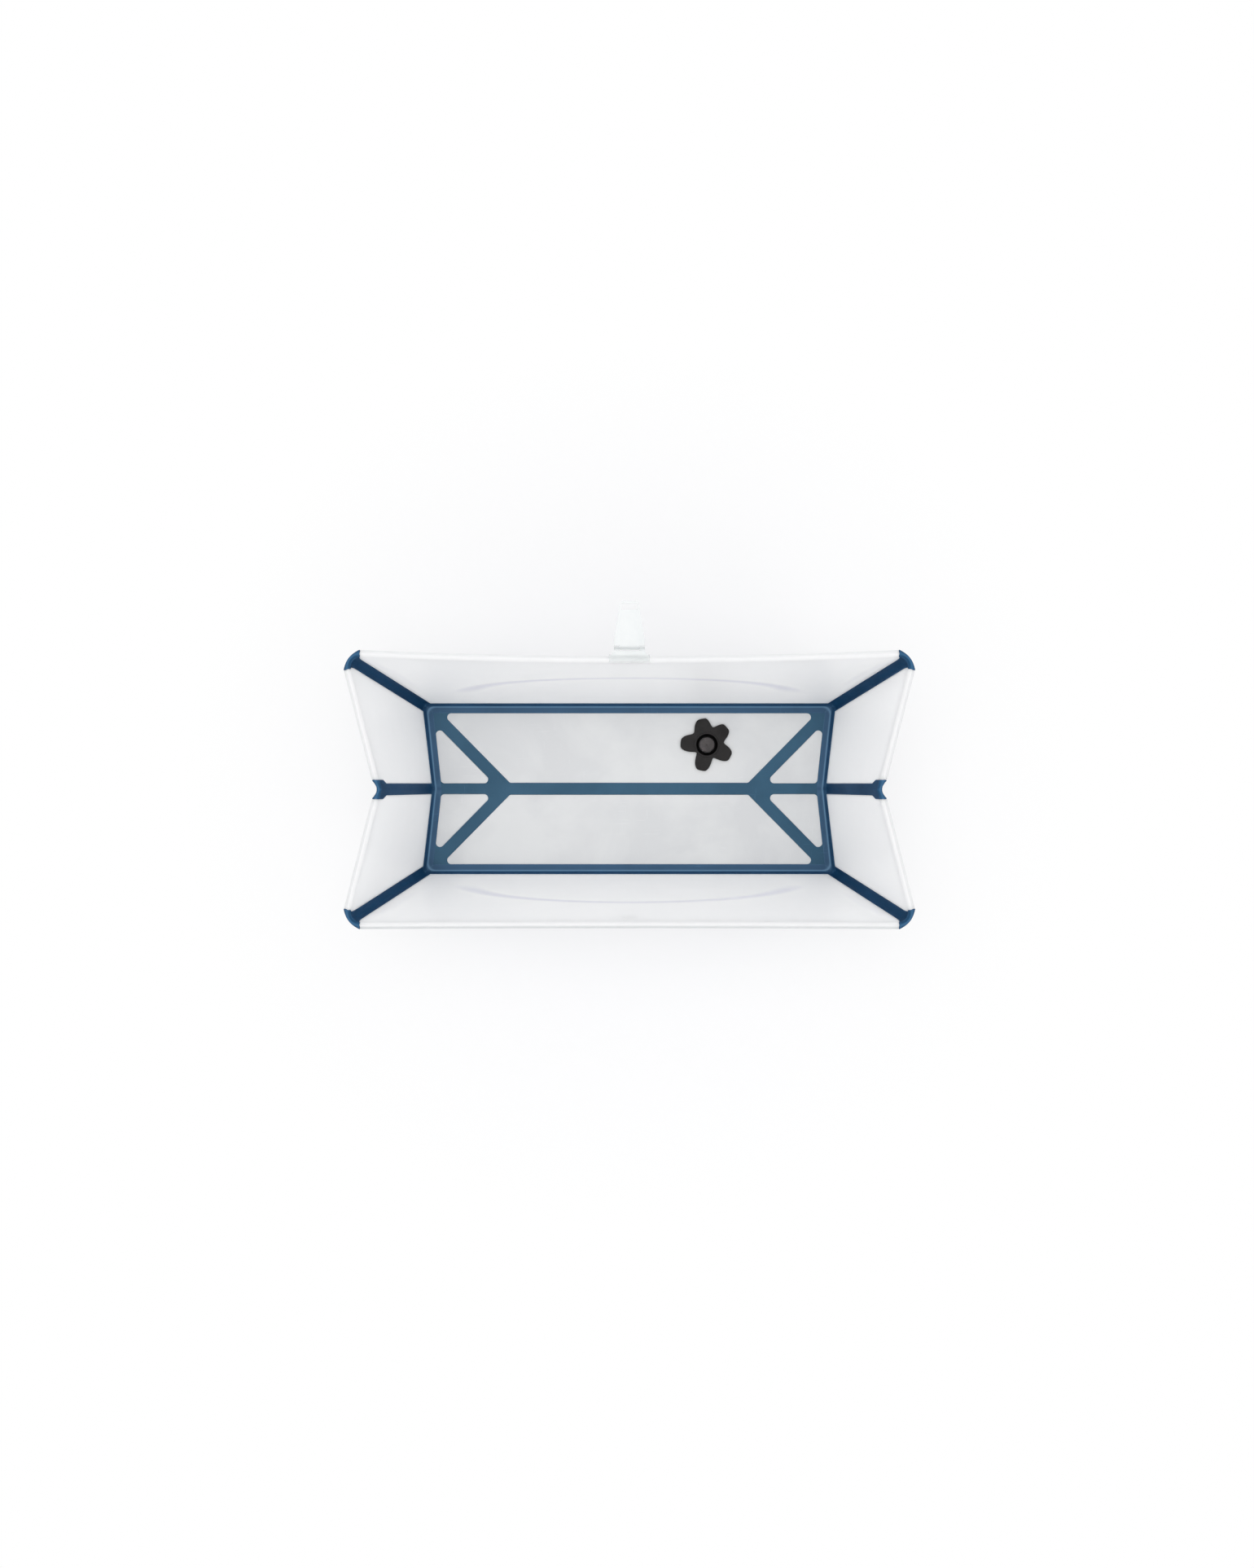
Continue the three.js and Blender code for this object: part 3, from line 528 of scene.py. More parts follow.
# A paler mix than the upright rubber: painted light, for the light that the floor strips catch from
# above.
navy_floor_rubber = moulded(
    "navy_floor_rubber", base="345C76", cloud="30566F", rub="4C7692", edge="547E9C",
    marks_amount=0.5, Specular_IOR_Level=0.2, **NAVY)
# Its painted colour is painted shade, near black deep in the groove, where light does not reach.
charcoal_rubber = moulded(
    "charcoal_rubber", base="232121", cloud="1D1B1B", rub="3A3838", edge="403E3E",
    grain_scale=1100.0, grain_depth=0.00012, rough=0.5, marks_amount=0.6, cloud_scale=30.0,
    pebble=0.6, rub_scale=90.0, painted={"groove": "020202"}, IOR=1.5, Specular_IOR_Level=0.2)
knob_rubber = moulded(
    "knob_rubber", base="474242", cloud="3C3838", rub="666161", edge="5E5A5A",
    grain_scale=1100.0, grain_depth=0.00008, rough=0.36, marks_amount=0.8, cloud_scale=60.0,
    pebble=0.6, rub_scale=120.0, IOR=1.5, Specular_IOR_Level=0.3)

# %% [markdown]
# ## The clear strap and its pin
# The strap is a thin, flexible, nearly clear moulding that does not bend the light much. Glass
# rays through so many small faces would come out speckled, so its clearness is a plain Alpha:
# what is behind shows evenly, and only its edges stand out a little. The pin's grey is a painted
# shadow: the dark line where the strap bends.

# %% The clear plastic and the pin
clear_plastic = moulded(
    "clear_plastic", base="F1F4F4", cloud="ECF0F0", rub="FAFBFB", edge="E2E6E7",
    grain_scale=500.0, grain_depth=0.00002, rough=0.3, cloud_scale=25.0, rub_scale=80.0,
    Alpha=0.42, IOR=1.46, Specular_IOR_Level=0.4)
# The pin's grey is a painted shadow: the dark line where the strap bends.
pin_plastic = moulded(
    "pin_plastic", base="A2A6AA", cloud="989CA0", rub="B4B8BC", edge="C0C4C8",
    grain_scale=1800.0, grain_depth=0.00003, rough=0.4, cloud_scale=60.0, rub_scale=120.0)

# %% [markdown]
# ## The plain floor
# The tub stands on a white floor that keeps only its soft shadow. For the rays of the camera, and
# for those that see the floor in a reflection or through the plastic, part of the floor's white is
# its own light. That share grows away from the tub, so the background stays clean white at every
# distance while the shadow close to the tub is kept.

# %% The floor
FLOOR_SIZE = 40
GLOW_START, GLOW_FULL = 0.3, 0.75  # metres from the middle of the tub
LEAST_GLOW = 0.15
ground = add(bpy.ops.mesh.primitive_plane_add, "studio_floor", size=FLOOR_SIZE,
             location=(0, 0, 0))
floor_paint = bpy.data.materials.new("studio_white")
floor_paint.use_nodes = True
ground_tree = floor_paint.node_tree
ground_tree.nodes.clear()
rays = put(ground_tree, "ShaderNodeLightPath").outputs
seen = rays["Is Camera Ray"]
for kind in ("Is Glossy Ray", "Is Transmission Ray"):
    seen = math_node(ground_tree, "MAXIMUM", seen, rays[kind])
spot = put(ground_tree, "ShaderNodeNewGeometry").outputs["Position"]
away = put(ground_tree, "ShaderNodeVectorMath", {"operation": "LENGTH"}, i0=spot).outputs["Value"]
own_share = ramp_between(ground_tree, away, GLOW_START, GLOW_FULL, LEAST_GLOW, 1.0)
matt = put(ground_tree, "ShaderNodeBsdfDiffuse", Color=linear("EFEFF0"))
own_light = put(ground_tree, "ShaderNodeEmission", Color=(1, 1, 1, 1), Strength=1)
blend_paint = put(ground_tree, "ShaderNodeMixShader", i1=matt.outputs[0], i2=own_light.outputs[0],
                  i0=math_node(ground_tree, "MULTIPLY", seen, own_share))
put(ground_tree, "ShaderNodeOutputMaterial", Surface=blend_paint.outputs[0])
ground.data.materials.append(floor_paint)
print("floor", FLOOR_SIZE, "m wide")

# %% [markdown]
# ## The walls
# A wall is one sheet, 2 mm thick, whose top edge is rolled outwards into a lip that is stiff and
# kind to arms. It could be cut from a block, but a sheet is easier to see as what it is: a plane
# whose corners are moved to the fold lines, then subdivided, with its top edge spun half a turn
# for the roll and extruded down for the lip's drop. The end walls twist a little between their
# two fold lines, and a subdivided plane follows that by itself. Its rows are even up to the
# height where the strips widen, and crowd together above it, as the rows of the strips do.

# %% Sizes of the walls
ROLL = 4.2 * MM
LIP_DROP = 2.5 * MM
WALL_EDGE = 0.45 * MM
CORNER_HALF = 13.5 * MM
CORNER_TIP = 19 * MM
CORNER_REACH = 70 * MM
CREASE_HALF = 8.8 * MM
CREASE_TIP = 14.3 * MM
CREASE_REACH = 60 * MM
CREASE_SLANT = (RIM_CORNER.x - END_TOP_X) / RIM_CORNER.y
FLANGE = 13 * MM
ROLL_STEPS = 12
ROLL_SHARE = 1 - ROLL / WALL_LENGTH
FOOT_SHARE = (FLANGE + GAP) / WALL_LENGTH
ROLL_Z = NET_Z + WALL_HEIGHT * ROLL_SHARE
FLARE_Z = NET_Z + WALL_HEIGHT - 24 * MM
SHOULDER_Z = NET_Z + WALL_HEIGHT - 34 * MM
SHOULDER_RISE = 14 * MM
CURVE_ROWS = 16
STRIP_ROWS = 46
LONG_COLUMNS, LONG_ROWS = 132, 84
END_COLUMNS = 40


def ease(value):
    value = min(max(value, 0), 1)
    return value * value * (3 - 2 * value)


def flare(z):
    """How far a border has turned away from its strip: 0 below the flare and 1 at the lip."""
    rise = min(max((z - FLARE_Z) / (ROLL_Z - FLARE_Z), 0), 1)
    return 1 - math.sqrt(1 - rise * rise)


def shoulder(z):
    """How far the crease strip has widened: 0 below its shoulders and 1 above them."""
    return ease((z - SHOULDER_Z) / SHOULDER_RISE)


def row_height(row, rows, foot_z):
    even_rows = rows - CURVE_ROWS
    if row <= even_rows:
        return foot_z + (SHOULDER_Z - foot_z) * row / even_rows
    turned = math.sin(math.pi / 2 * min((row - even_rows) / CURVE_ROWS, 1))
    return SHOULDER_Z + (ROLL_Z - SHOULDER_Z) * turned


def nudge(piece, shift):
    """Moves each point by what the rule gives for its place, as proportional editing does."""
    for vert in piece.data.vertices:
        vert.co = vert.co + shift(vert.co.copy())


# %% A flat sheet between four points


def sheet_between(name, foot_start, foot_end, top_start, top_end, columns, rows):
    """A subdivided sheet. Its columns run from start to end, and its rows from foot to top."""
    corners = [foot_start, foot_end, top_start, top_end]
    middle = sum(corners, Vector((0, 0, 0))) / 4
    piece = add(bpy.ops.mesh.primitive_plane_add, name, size=0.2, location=middle)
    starts = [vert.co.copy() for vert in piece.data.vertices]
    edit(piece)
    for begin, goal in zip(starts, corners):
        pick(piece, "VERT", lambda vert: (vert.co - begin).length < 1e-5)
        bpy.ops.transform.translate(value=goal - begin)
    along = (foot_end - foot_start).normalized()

    def lengthwise(edge):
        return abs((edge.verts[1].co - edge.verts[0].co).normalized().dot(along)) > 0.9

    pick(piece, "EDGE", lengthwise)
    bpy.ops.mesh.subdivide(number_cuts=columns - 1)
    pick(piece, "EDGE", lambda edge: not lengthwise(edge))
    bpy.ops.mesh.subdivide(number_cuts=rows - 1)
    leave()

    def places_at(share):
        return foot_start.lerp(top_start, share), foot_end.lerp(top_end, share)

    height = top_start.z - foot_start.z
    for vert in piece.data.vertices:
        share = (vert.co.z - foot_start.z) / height
        start, end = places_at(share)
        across = (vert.co - start).length / (end - start).length
        start, end = places_at((row_height(share * rows, rows, foot_start.z) - foot_start.z)
                               / height)
        vert.co = start.lerp(end, across)
    return piece


# %% The rolled lip


def roll_lip(piece, top_start, top_end, up, outward):
    """Spins the top edge outwards by half a turn and lets it down by the lip's drop."""
    axis = (top_end - top_start).normalized()
    up = (up - axis * up.dot(axis)).normalized()
    out = axis.cross(up)
    if out.dot(outward) < 0:
        out.negate()
    middle = (top_start + top_end) / 2
    top_z = max(vert.co.z for vert in piece.data.vertices)
    edit(piece)
    pick(piece, "VERT", lambda vert: vert.co.z > top_z - TOUCH)
    bpy.ops.mesh.spin(steps=ROLL_STEPS, angle=math.pi, center=middle + out * ROLL,
                      axis=out.cross(up))
    extrude(up * -LIP_DROP)
    leave()


# %% [markdown]
# ## Relief of the long walls
# A wide shallow arch is pressed outwards in each long wall, which keeps the sheet from bowing, and
# a cool painted shade runs along its edge, where the relief turns from the light. The rims are
# bowed inwards a little, the far one most, by the pull of the strap. Beside each corner a faint
# raised sweep runs up to the lip, with a little of the same painted shade. These are painted as
# vertex groups and raised with a Displace modifier, the way a sculptor would mask and inflate, so
# their depth is one number each.

# %% The reliefs
ARCH_HALF_LENGTH = 288 * MM
ARCH_HALF_HEIGHT = 116 * MM
ARCH_CENTRE = 70 * MM
ARCH_FOOT = 30 * MM  # above the flange, where it has its full depth
ARCH_DEPTH = 1.8 * MM
ARCH_EDGE = 0.17
ARCH_SHADE_RISE = 40 * MM
BOW = {"far": 9.5 * MM, "near": 1.2 * MM}
SWEEP_DEPTH = 0.9 * MM
SWEEP_HALF = 9 * MM
SWEEP_OFF = 34 * MM  # from the corner line
SWEEP_TURN = 11 * MM  # towards the corner, under the lip
SWEEP_START, START_LENGTH = 110 * MM, 50 * MM
TURN_START, TURN_LENGTH = 195 * MM, 75 * MM
SWEEP_END, END_LENGTH = 272 * MM, 8 * MM
# Shares of painted shade: on the sweeps, and on the outer half of each lip, most at the near side,
# where the drop hides it from the light.
SWEEP_SHADE = 0.3
LIP_SHADE = {"far": 0.3, "near": 1.0, "end": 0.5}
GREY_START, GREY_LENGTH = 0.85, 0.3  # as shares of the roll's radius
ROLL_BEGINS = {"long": 0.5 * MM, "end": 1 * MM}  # outwards from the wall


def up_sheet(z):
    return (z - NET_Z) / math.cos(WALL_LEAN)


def into_arch(place):
    """How far a place is into the arch, where 0 is its outline and 1 where its edge ends."""
    up = up_sheet(place.z) - ARCH_CENTRE
    return (1 - math.hypot(place.x / ARCH_HALF_LENGTH, up / ARCH_HALF_HEIGHT)) / ARCH_EDGE


def arch_weight(place):
    return ease(into_arch(place)) * ease((up_sheet(place.z) - FLANGE) / ARCH_FOOT)


def sweep_weight(place):
    up = up_sheet(place.z)
    centre = SWEEP_OFF - SWEEP_TURN * ease((up - TURN_START) / TURN_LENGTH)
    ridge = 1 - abs(corner_at(place.z).x - abs(place.x) - centre) / SWEEP_HALF
    begun = ease((up - SWEEP_START) / START_LENGTH)
    return ease(ridge) * begun * ease((SWEEP_END - up) / END_LENGTH)


def bow_weight(place):
    along = min(abs(place.x) / (corner_at(place.z).x - CORNER_HALF), 1)
    up = up_sheet(place.z) / (WALL_LENGTH - ROLL - LIP_DROP)
    return (1 - along * along) * min(up, 1) ** 2


def relief_shade_amount(place):
    """How much painted shade the sheet gets, cool and dark: most along the arch's edge, and a little
    on the sweeps.
    """
    down = min(max(into_arch(place), 0), 1)
    risen = ease((up_sheet(place.z) - ARCH_CENTRE) / ARCH_SHADE_RISE)
    return max(4 * down * (1 - down) * risen, SWEEP_SHADE * sweep_weight(place))


def lip_shade(wall, out):
    """How much painted shade greys a lip at a distance out from its wall: only its outer half is
    grey.
    """
    return LIP_SHADE[wall] * ease((out / ROLL - GREY_START) / GREY_LENGTH)


# %% The long walls


def long_wall(side, sign):
    lengthwise = 1 / math.cos(math.atan2(RIM_CORNER.x - FLOOR_CORNER.x, WALL_LENGTH))
    inset = (CORNER_HALF + GAP) * lengthwise

    def points(share):
        z = NET_Z + WALL_HEIGHT * share
        corner = corner_at(z)
        return [Vector((x_sign * (corner.x - inset), sign * corner.y, z)) for x_sign in (-1, 1)]

    top = points(ROLL_SHARE)
    wall = sheet_between(f"long_wall_{side}", *points(FOOT_SHARE), *top, columns=LONG_COLUMNS,
                         rows=LONG_ROWS)
    up = Vector((0, sign * math.sin(WALL_LEAN), math.cos(WALL_LEAN)))
    roll_lip(wall, *top, up, Vector((0, sign, 0)))

    def from_corner_strip(place):
        border = corner_at(min(place.z, top[0].z)).x - inset
        near = ease(1 - (border - abs(place.x)) / CORNER_REACH)
        rolled = abs(place.y) > corner_at(place.z).y + ROLL_BEGINS["long"]
        shift = (CORNER_TIP - CORNER_HALF) * near * (1 if rolled else flare(place.z))
        return Vector((-math.copysign(shift, place.x), 0, 0))

    nudge(wall, from_corner_strip)
    return wall


def paint_weights(piece, name, weight):
    group = piece.vertex_groups.new(name=name)
    for vert in piece.data.vertices:
        group.add([vert.index], weight(vert.co), "REPLACE")


for side, sign in SIDES.items():
    wall = long_wall(side, sign)
    tidy_normals(wall)
    flip = 1 if wall.data.polygons[0].normal.y * sign > 0 else -1
    # Painted shade: cool along the arch's edge and the sweeps, and grey on the lip's outer half.
    paint(wall, "ledge", relief_shade_amount)
    paint(wall, "lip", lambda place: lip_shade(side, abs(place.y) - corner_at(place.z).y))
    paint_weights(wall, "arch", arch_weight)
    paint_weights(wall, "sweep", sweep_weight)
    paint_weights(wall, "bow", bow_weight)
    for group, strength, direction in (
            ("arch", flip * ARCH_DEPTH, "NORMAL"), ("sweep", -flip * SWEEP_DEPTH, "NORMAL"),
            ("bow", -sign * BOW[side] * math.cos(WALL_LEAN), "Y"),
            ("bow", BOW[side] * math.sin(WALL_LEAN), "Z")):
        modify(wall, "DISPLACE", vertex_group=group, mid_level=0, strength=strength,
               direction=direction)
    thicken(wall, SHEET)
    soften(wall, WALL_EDGE)
    finish(wall, f"{side}_wall", "milky_panel", milky_panel, f"side_wall_{side}")

# %% [markdown]
# ## The end walls
# Each end is two panels with a crease between them, so that it can fold inwards like the side of
# a paper bag. One panel is made, with the same lip, and the other three are mirrored copies.

# %% The end walls
END_WALL_LEAN = WALL_LEAN * 1.1  # of its border at the corner strip


def end_wall_points(share):
    """The two borders of the right far end panel at one height: at the crease and at the corner."""
    z = NET_Z + WALL_HEIGHT * share
    crease, corner = crease_at(z), corner_at(z)
    along = (corner - crease).normalized()
    start = crease + along * (CREASE_HALF + GAP)
    end = corner - along * (CORNER_HALF + GAP) / math.cos(END_WALL_LEAN)
    return Vector((*start, z)), Vector((*end, z))


end_foot = end_wall_points(FOOT_SHARE)
end_top = end_wall_points(ROLL_SHARE)
end_wall = sheet_between("end_wall_far_right", *end_foot, *end_top, columns=END_COLUMNS,
                         rows=STRIP_ROWS)
end_up = (end_top[0] - end_foot[0]).normalized() + (end_top[1] - end_foot[1]).normalized()
roll_lip(end_wall, *end_top, end_up, Vector((1, 0, 0)))


def on_end_wall(place):
    """The run from the crease, the panel's width and direction, and the distance out from it."""
    z = min(place.z, end_top[0].z)
    crease = crease_at(z)
    across = corner_at(z) - crease
    along = across.normalized()
    run = place.to_2d() - crease
    return run.dot(along), across.length, along, abs(run.cross(along))


def from_end_strips(place):
    """Turns the borders away from the caps at both ends of the lip.

    On the roll, the border beside the crease's cap slants, so that it runs straight outwards.
    """
    run, width, along, out = on_end_wall(place)
    rolled = out > ROLL_BEGINS["end"]
    at_corner = ease(1 - (width - CORNER_HALF - run) / CORNER_REACH) * (
        1 if rolled else flare(place.z))
    at_crease = ease(1 - (run - CREASE_HALF) / CREASE_REACH) * (
        1 if rolled else shoulder(place.z))
    shift = (CREASE_TIP - CREASE_HALF + out * CREASE_SLANT) * at_crease
    shift -= (CORNER_TIP - CORNER_HALF) * at_corner
    return (along * shift).to_3d()


nudge(end_wall, from_end_strips)
tidy_normals(end_wall)
# Painted shade on the outer half of the lip.
paint(end_wall, "lip", lambda place: lip_shade("end", on_end_wall(place)[3]))
thicken(end_wall, SHEET)
soften(end_wall, WALL_EDGE)
for piece, side, end, x, y in quarters(end_wall):
    finish(piece, f"end_{side}_{end}", "milky_panel", milky_panel, f"end_panel_{side}_{end}")

# %% [markdown]
# ## The floor panels
# The floor panels are flat plates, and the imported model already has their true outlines. Such a
# node is a loose set of triangles with sharp edges, so we copy it, merge its points, take out the
# lines across its flat faces, and then round its edges as a real moulded plate is.

# %% The floor panels
PLATE_EDGE = 0.4 * MM


def rounded_copy(node, name, width, angle=35):
    """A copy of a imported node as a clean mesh, with its flat faces whole and its edges rounded."""
    piece = bpy.data.objects.new(name, nodes[node].data.copy())
    bpy.context.scene.collection.objects.link(piece)
    edit(piece)
    pick_all()
    bpy.ops.mesh.remove_doubles(threshold=TOUCH)
    bpy.ops.mesh.dissolve_limited(angle_limit=math.radians(1))
    leave()
    piece.data.name = name
    soften(piece, width, angle=angle, segments=3)
    return piece


def floor_panel(node, name, body):
    plate = rounded_copy(node, name, PLATE_EDGE)
    level_flat_faces(plate)
    finish(plate, body, "milky_panel", milky_floor, node)


for side in SIDES:
    floor_panel(f"floor_panel_{side}", f"floor_plate_{side}", f"{side}_floor")
    for end in ENDS:
        quarter = f"{side}_{end}"
        floor_panel(f"floor_triangle_{quarter}", f"floor_wedge_{quarter}", f"triangle_{quarter}")

# %% [markdown]
# ## A skin over rows of points
# The rubber strips bend along a fold line, flare at the rim and roll over with the lip, all at
# once. No single tool does that, so these pieces start as a grid, and each point of the grid is
# then put where the strip's own shape says. The grid keeps the faces in clean rows, and the rows
# get their thickness afterwards, as the walls do.

# %% The skin and its paths
STRIP_EDGE = 0.5 * MM


def skin(name, rows):
    """A grid whose points are moved to the given rows of places."""
    tall, wide = len(rows), len(rows[0])
    piece = add(bpy.ops.mesh.primitive_grid_add, name, x_subdivisions=wide - 1,
                y_subdivisions=tall - 1, size=0.1)
    for r, row in enumerate(rows):
        for c, place in enumerate(row):
            piece.data.vertices[r * wide + c].co = place
    piece.data.update()
    return piece


def raised(path, z):
    """A path in plan, lifted to a height."""
    return [place.to_3d() + Vector((0, 0, z)) for place in path]


def rounded_turn(corner, first, second, width, radius, arc_steps=12, flat_steps=3):
    """A path in plan from one border, round a corner, to the other border.

    first and second point along the two lines, away from the corner.
    """
    half = math.acos(max(-1, min(1, first.dot(second)))) / 2
    tangent = min(radius / math.tan(half), width)
    radius = tangent * math.tan(half)
    centre = corner + (first + second).normalized() * (radius / math.sin(half))
    a, b = corner + first * tangent, corner + second * tangent
    path = [corner + first * (width + (tangent - width) * i / flat_steps)
            for i in range(flat_steps)]
    turn = (a - centre).angle_signed(b - centre)
    path += [centre + Matrix.Rotation(-turn * i / arc_steps, 2) @ (a - centre)
             for i in range(arc_steps + 1)]
    path += [corner + second * (tangent + (width - tangent) * (i + 1) / flat_steps)
             for i in range(flat_steps)]
    return path


def shallow_arc(start, end, bulge, radius, steps):
    """A path in plan on a shallow arc that bulges to the given side."""
    chord = end - start
    half = chord.length / 2
    chord.normalize()
    reach = math.asin(half / radius)
    centre = (start + end) / 2 - bulge * (radius * math.cos(reach))
    angles = [reach * (2 * i / steps - 1) for i in range(steps + 1)]
    return [centre + bulge * (radius * math.cos(t)) + chord * (radius * math.sin(t))
            for t in angles]


# %% [markdown]
# ## The upright corner strips
# Seen from above, each corner strip is an even band that bends round the corner, and at the rim it
# spreads into a fish tail. The tail rolls over with the lips on both sides, and its outer edge is
# a shallow arc from tip to tip. The rows below the lip are rounded turns, and the rows of the roll
# pass from the last turn to the arc in the same half circle as the lip of the wall.

# %% The corner strips
STRIP_FOOT_Z = NET_Z + FLANGE + GAP
CORNER_BEND = 10.6 * MM
CORNER_TOP_BEND = 14 * MM
CORNER_ARC = 40 * MM
ARC_STEPS, FLAT_STEPS = 14, 3
LIP_OUT = 2 * ROLL / math.cos(WALL_LEAN)
# Painted highlight on the caps: a little all over, and more along the crest.
CAP_HIGHLIGHT, CAP_START, CAP_RISE = 0.1, -2 * MM, 4 * MM
CREST_HIGHLIGHT, CREST_START, CREST_RISE = 0.35, 4 * MM, 1.6 * MM


def sheet_z(up, out):
    """The height of a point that is up the wall by one distance and out from it by another."""
    return NET_Z + up * math.cos(WALL_LEAN) - out * math.sin(WALL_LEAN)


def corner_lines(z):
    """The corner at a height, the directions of its two walls in plan, and outwards of the end."""
    corner = corner_at(z)
    second = (crease_at(z) - corner).normalized()
    return corner, Vector((-1, 0)), second, Vector((-second.y, second.x))


def corner_turn(z, width, radius):
    return rounded_turn(*corner_lines(z)[:3], width, radius, ARC_STEPS, FLAT_STEPS)


def tip_width(z):
    """The reach of the cap's tips, which keeps its borders straight while the corner leans out."""
    return CORNER_TIP + corner_at(z).x - corner_at(ROLL_Z).x


def corner_outer(z):
    """The outer edge of the fish tail at a height."""
    corner, first, second, end_out = corner_lines(z)
    tips = [corner + first * tip_width(z) + Vector((0, 1)) * LIP_OUT,
            corner + second * tip_width(z) + end_out * LIP_OUT]
    bulge = -(first + second).normalized()
    return shallow_arc(*tips, bulge, CORNER_ARC, ARC_STEPS + 2 * FLAT_STEPS)


def strip_rows(turn_at, inner_at, outer_at):
    """The rows of an upright strip: up the wall, over the roll to the outer path, and its drop."""
    rows = []
    for i in range(STRIP_ROWS + 1):
        z = row_height(i, STRIP_ROWS, STRIP_FOOT_Z)
        rows.append(raised(turn_at(z), z))
    for i in range(1, ROLL_STEPS + 1):
        angle = math.pi * i / ROLL_STEPS
        z = sheet_z(WALL_LENGTH - ROLL + ROLL * math.sin(angle), ROLL * (1 - math.cos(angle)))
        share = (1 - math.cos(angle)) / 2
        rows.append(raised([a.lerp(b, share) for a, b in zip(inner_at(z), outer_at(z))], z))
    z = sheet_z(WALL_LENGTH - ROLL - LIP_DROP, 2 * ROLL)
    return rows + [raised(outer_at(z), z)]


def flaring_turn(z):
    spread = flare(z)
    return corner_turn(z, CORNER_HALF + (CORNER_TIP - CORNER_HALF) * spread,
                       CORNER_BEND + (CORNER_TOP_BEND - CORNER_BEND) * spread)


def crest(place):
    """How much painted highlight a cap gets: a little all over, and more along its crest."""
    up = place.z - ROLL_Z
    cap = CAP_HIGHLIGHT * ease((up - CAP_START) / CAP_RISE)
    return cap + CREST_HIGHLIGHT * ease((up - CREST_START) / CREST_RISE)


def fold_ends(start, along, towards_a, towards_b, reach):
    """Two points across a fold line, one on each flange."""
    def across(direction):
        return (direction - along * direction.dot(along)).normalized()
    spread = (across(towards_b) - across(towards_a)).normalized()
    return start - spread * reach, start + spread * reach


corner_strip = skin("corner_strip_far_right", strip_rows(
    flaring_turn, lambda z: corner_turn(z, tip_width(z), CORNER_TOP_BEND), corner_outer))
tidy_normals(corner_strip)
mark_borders(corner_strip)
thicken(corner_strip, RUBBER)
soften(corner_strip, STRIP_EDGE, method="WEIGHT")
# Painted highlight on the cap, most along its crest.
paint(corner_strip, "crest", crest)
for piece, side, end, x, y in quarters(corner_strip):
    foot = Vector((x * FLOOR_CORNER.x, y * FLOOR_CORNER.y, NET_Z))
    top = Vector((x * RIM_CORNER.x, y * RIM_CORNER.y, NET_Z + WALL_HEIGHT))
    end_middle = Vector((x * (END_FOOT_X + END_TOP_X) / 2, 0, WALL_HEIGHT / 2))
    start, stop = fold_ends(foot, (top - foot).normalized(), Vector((-x, 0, 0)),
                            end_middle - foot, 8 * MM)
    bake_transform(piece)
    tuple(start)
    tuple(stop)
    finish(piece, None, "strip_rubber", navy_rubber, f"corner_hinge_{side}_{end}")

# %% [markdown]
# ## The crease strips of the ends
# The strip up the middle of each end is cut along its crease, because its two halves turn with
# different panels and no joint lies between them. At the rim it widens with two square shoulders,
# rolls over, and ends in a hollow arc. The far half is made, and the other three are mirrored.

# %% The crease strips
CREASE_BEND = 4 * MM
HOLLOW_ARC = 16.4 * MM
CREASE_STEPS = 12
HALF_PATH = FLAT_STEPS + CREASE_STEPS // 2


def crease_half(z, width):
    """Half of the path across the crease strip, from the crease to its far border."""
    crease = crease_at(z)
    far = (corner_at(z) - crease).normalized()
    near = Vector((far.x, -far.y))
    return rounded_turn(crease, near, far, width, CREASE_BEND, CREASE_STEPS, FLAT_STEPS)[HALF_PATH:]


def crease_outer(z):
    crease = crease_at(z)
    far = (corner_at(z) - crease).normalized()
    out = Vector((far.y, -far.x))
    tip = crease + far * (CREASE_TIP + CREASE_SLANT * LIP_OUT) + out * LIP_OUT
    return shallow_arc(Vector((tip.x, -tip.y)), tip, Vector((-1, 0)), HOLLOW_ARC,
                       CREASE_STEPS + 2 * FLAT_STEPS)[HALF_PATH:]


crease_strip = skin("crease_strip_far_right", strip_rows(
    lambda z: crease_half(z, CREASE_HALF + (CREASE_TIP - CREASE_HALF) * shoulder(z)),
    lambda z: crease_half(z, CREASE_TIP), crease_outer))
tidy_normals(crease_strip)
mark_borders(crease_strip, lambda place: abs(place.y) < TOUCH)
thicken(crease_strip, RUBBER)
soften(crease_strip, STRIP_EDGE, angle=50, method="WEIGHT")
# Painted highlight on the cap, most along its crest.
paint(crease_strip, "crest", crest)
for piece, side, end, x, y in quarters(crease_strip):
    finish(piece, f"end_{side}_{end}", "strip_rubber", navy_rubber, f"end_crease_hinge_{end}")

# %% [markdown]
# ## The strips round the floor
# The floor meets the walls in a soft hollow of rubber that runs right round the tub and turns its
# corners smoothly. Its section has a flange on the floor, a hollow, and a flange up the wall. Each
# line along the strip follows the fold line at its own height and distance, and is rounded more
# where the hollow is deepest. The strips of two neighbouring walls meet on the diagonal.

# %% The section of the floor's edge strips
LONG_FLOOR_WIDTH = 14 * MM
END_FLOOR_WIDTH = 13 * MM
HOLLOW = 6 * MM
HOLLOW_STEPS = 8
CORNER_HOLLOW = 13 * MM
EDGE_ARC_STEPS = 8
# The painted highlight lies along the hollow at this height, and painted light falls on the floor
# flange.
BEND_LINE_Z = NET_Z + 2.2 * MM
BEND_LINE_HALF = 0.8 * MM
FLAT_TOP, FLAT_FADE = NET_Z + 5 * MM, 3 * MM
FLAT_LIGHT_SHARE, HOLLOW_HIGHLIGHT_SHARE = 0.14, 0.85
FLANGE_ROWS = 4


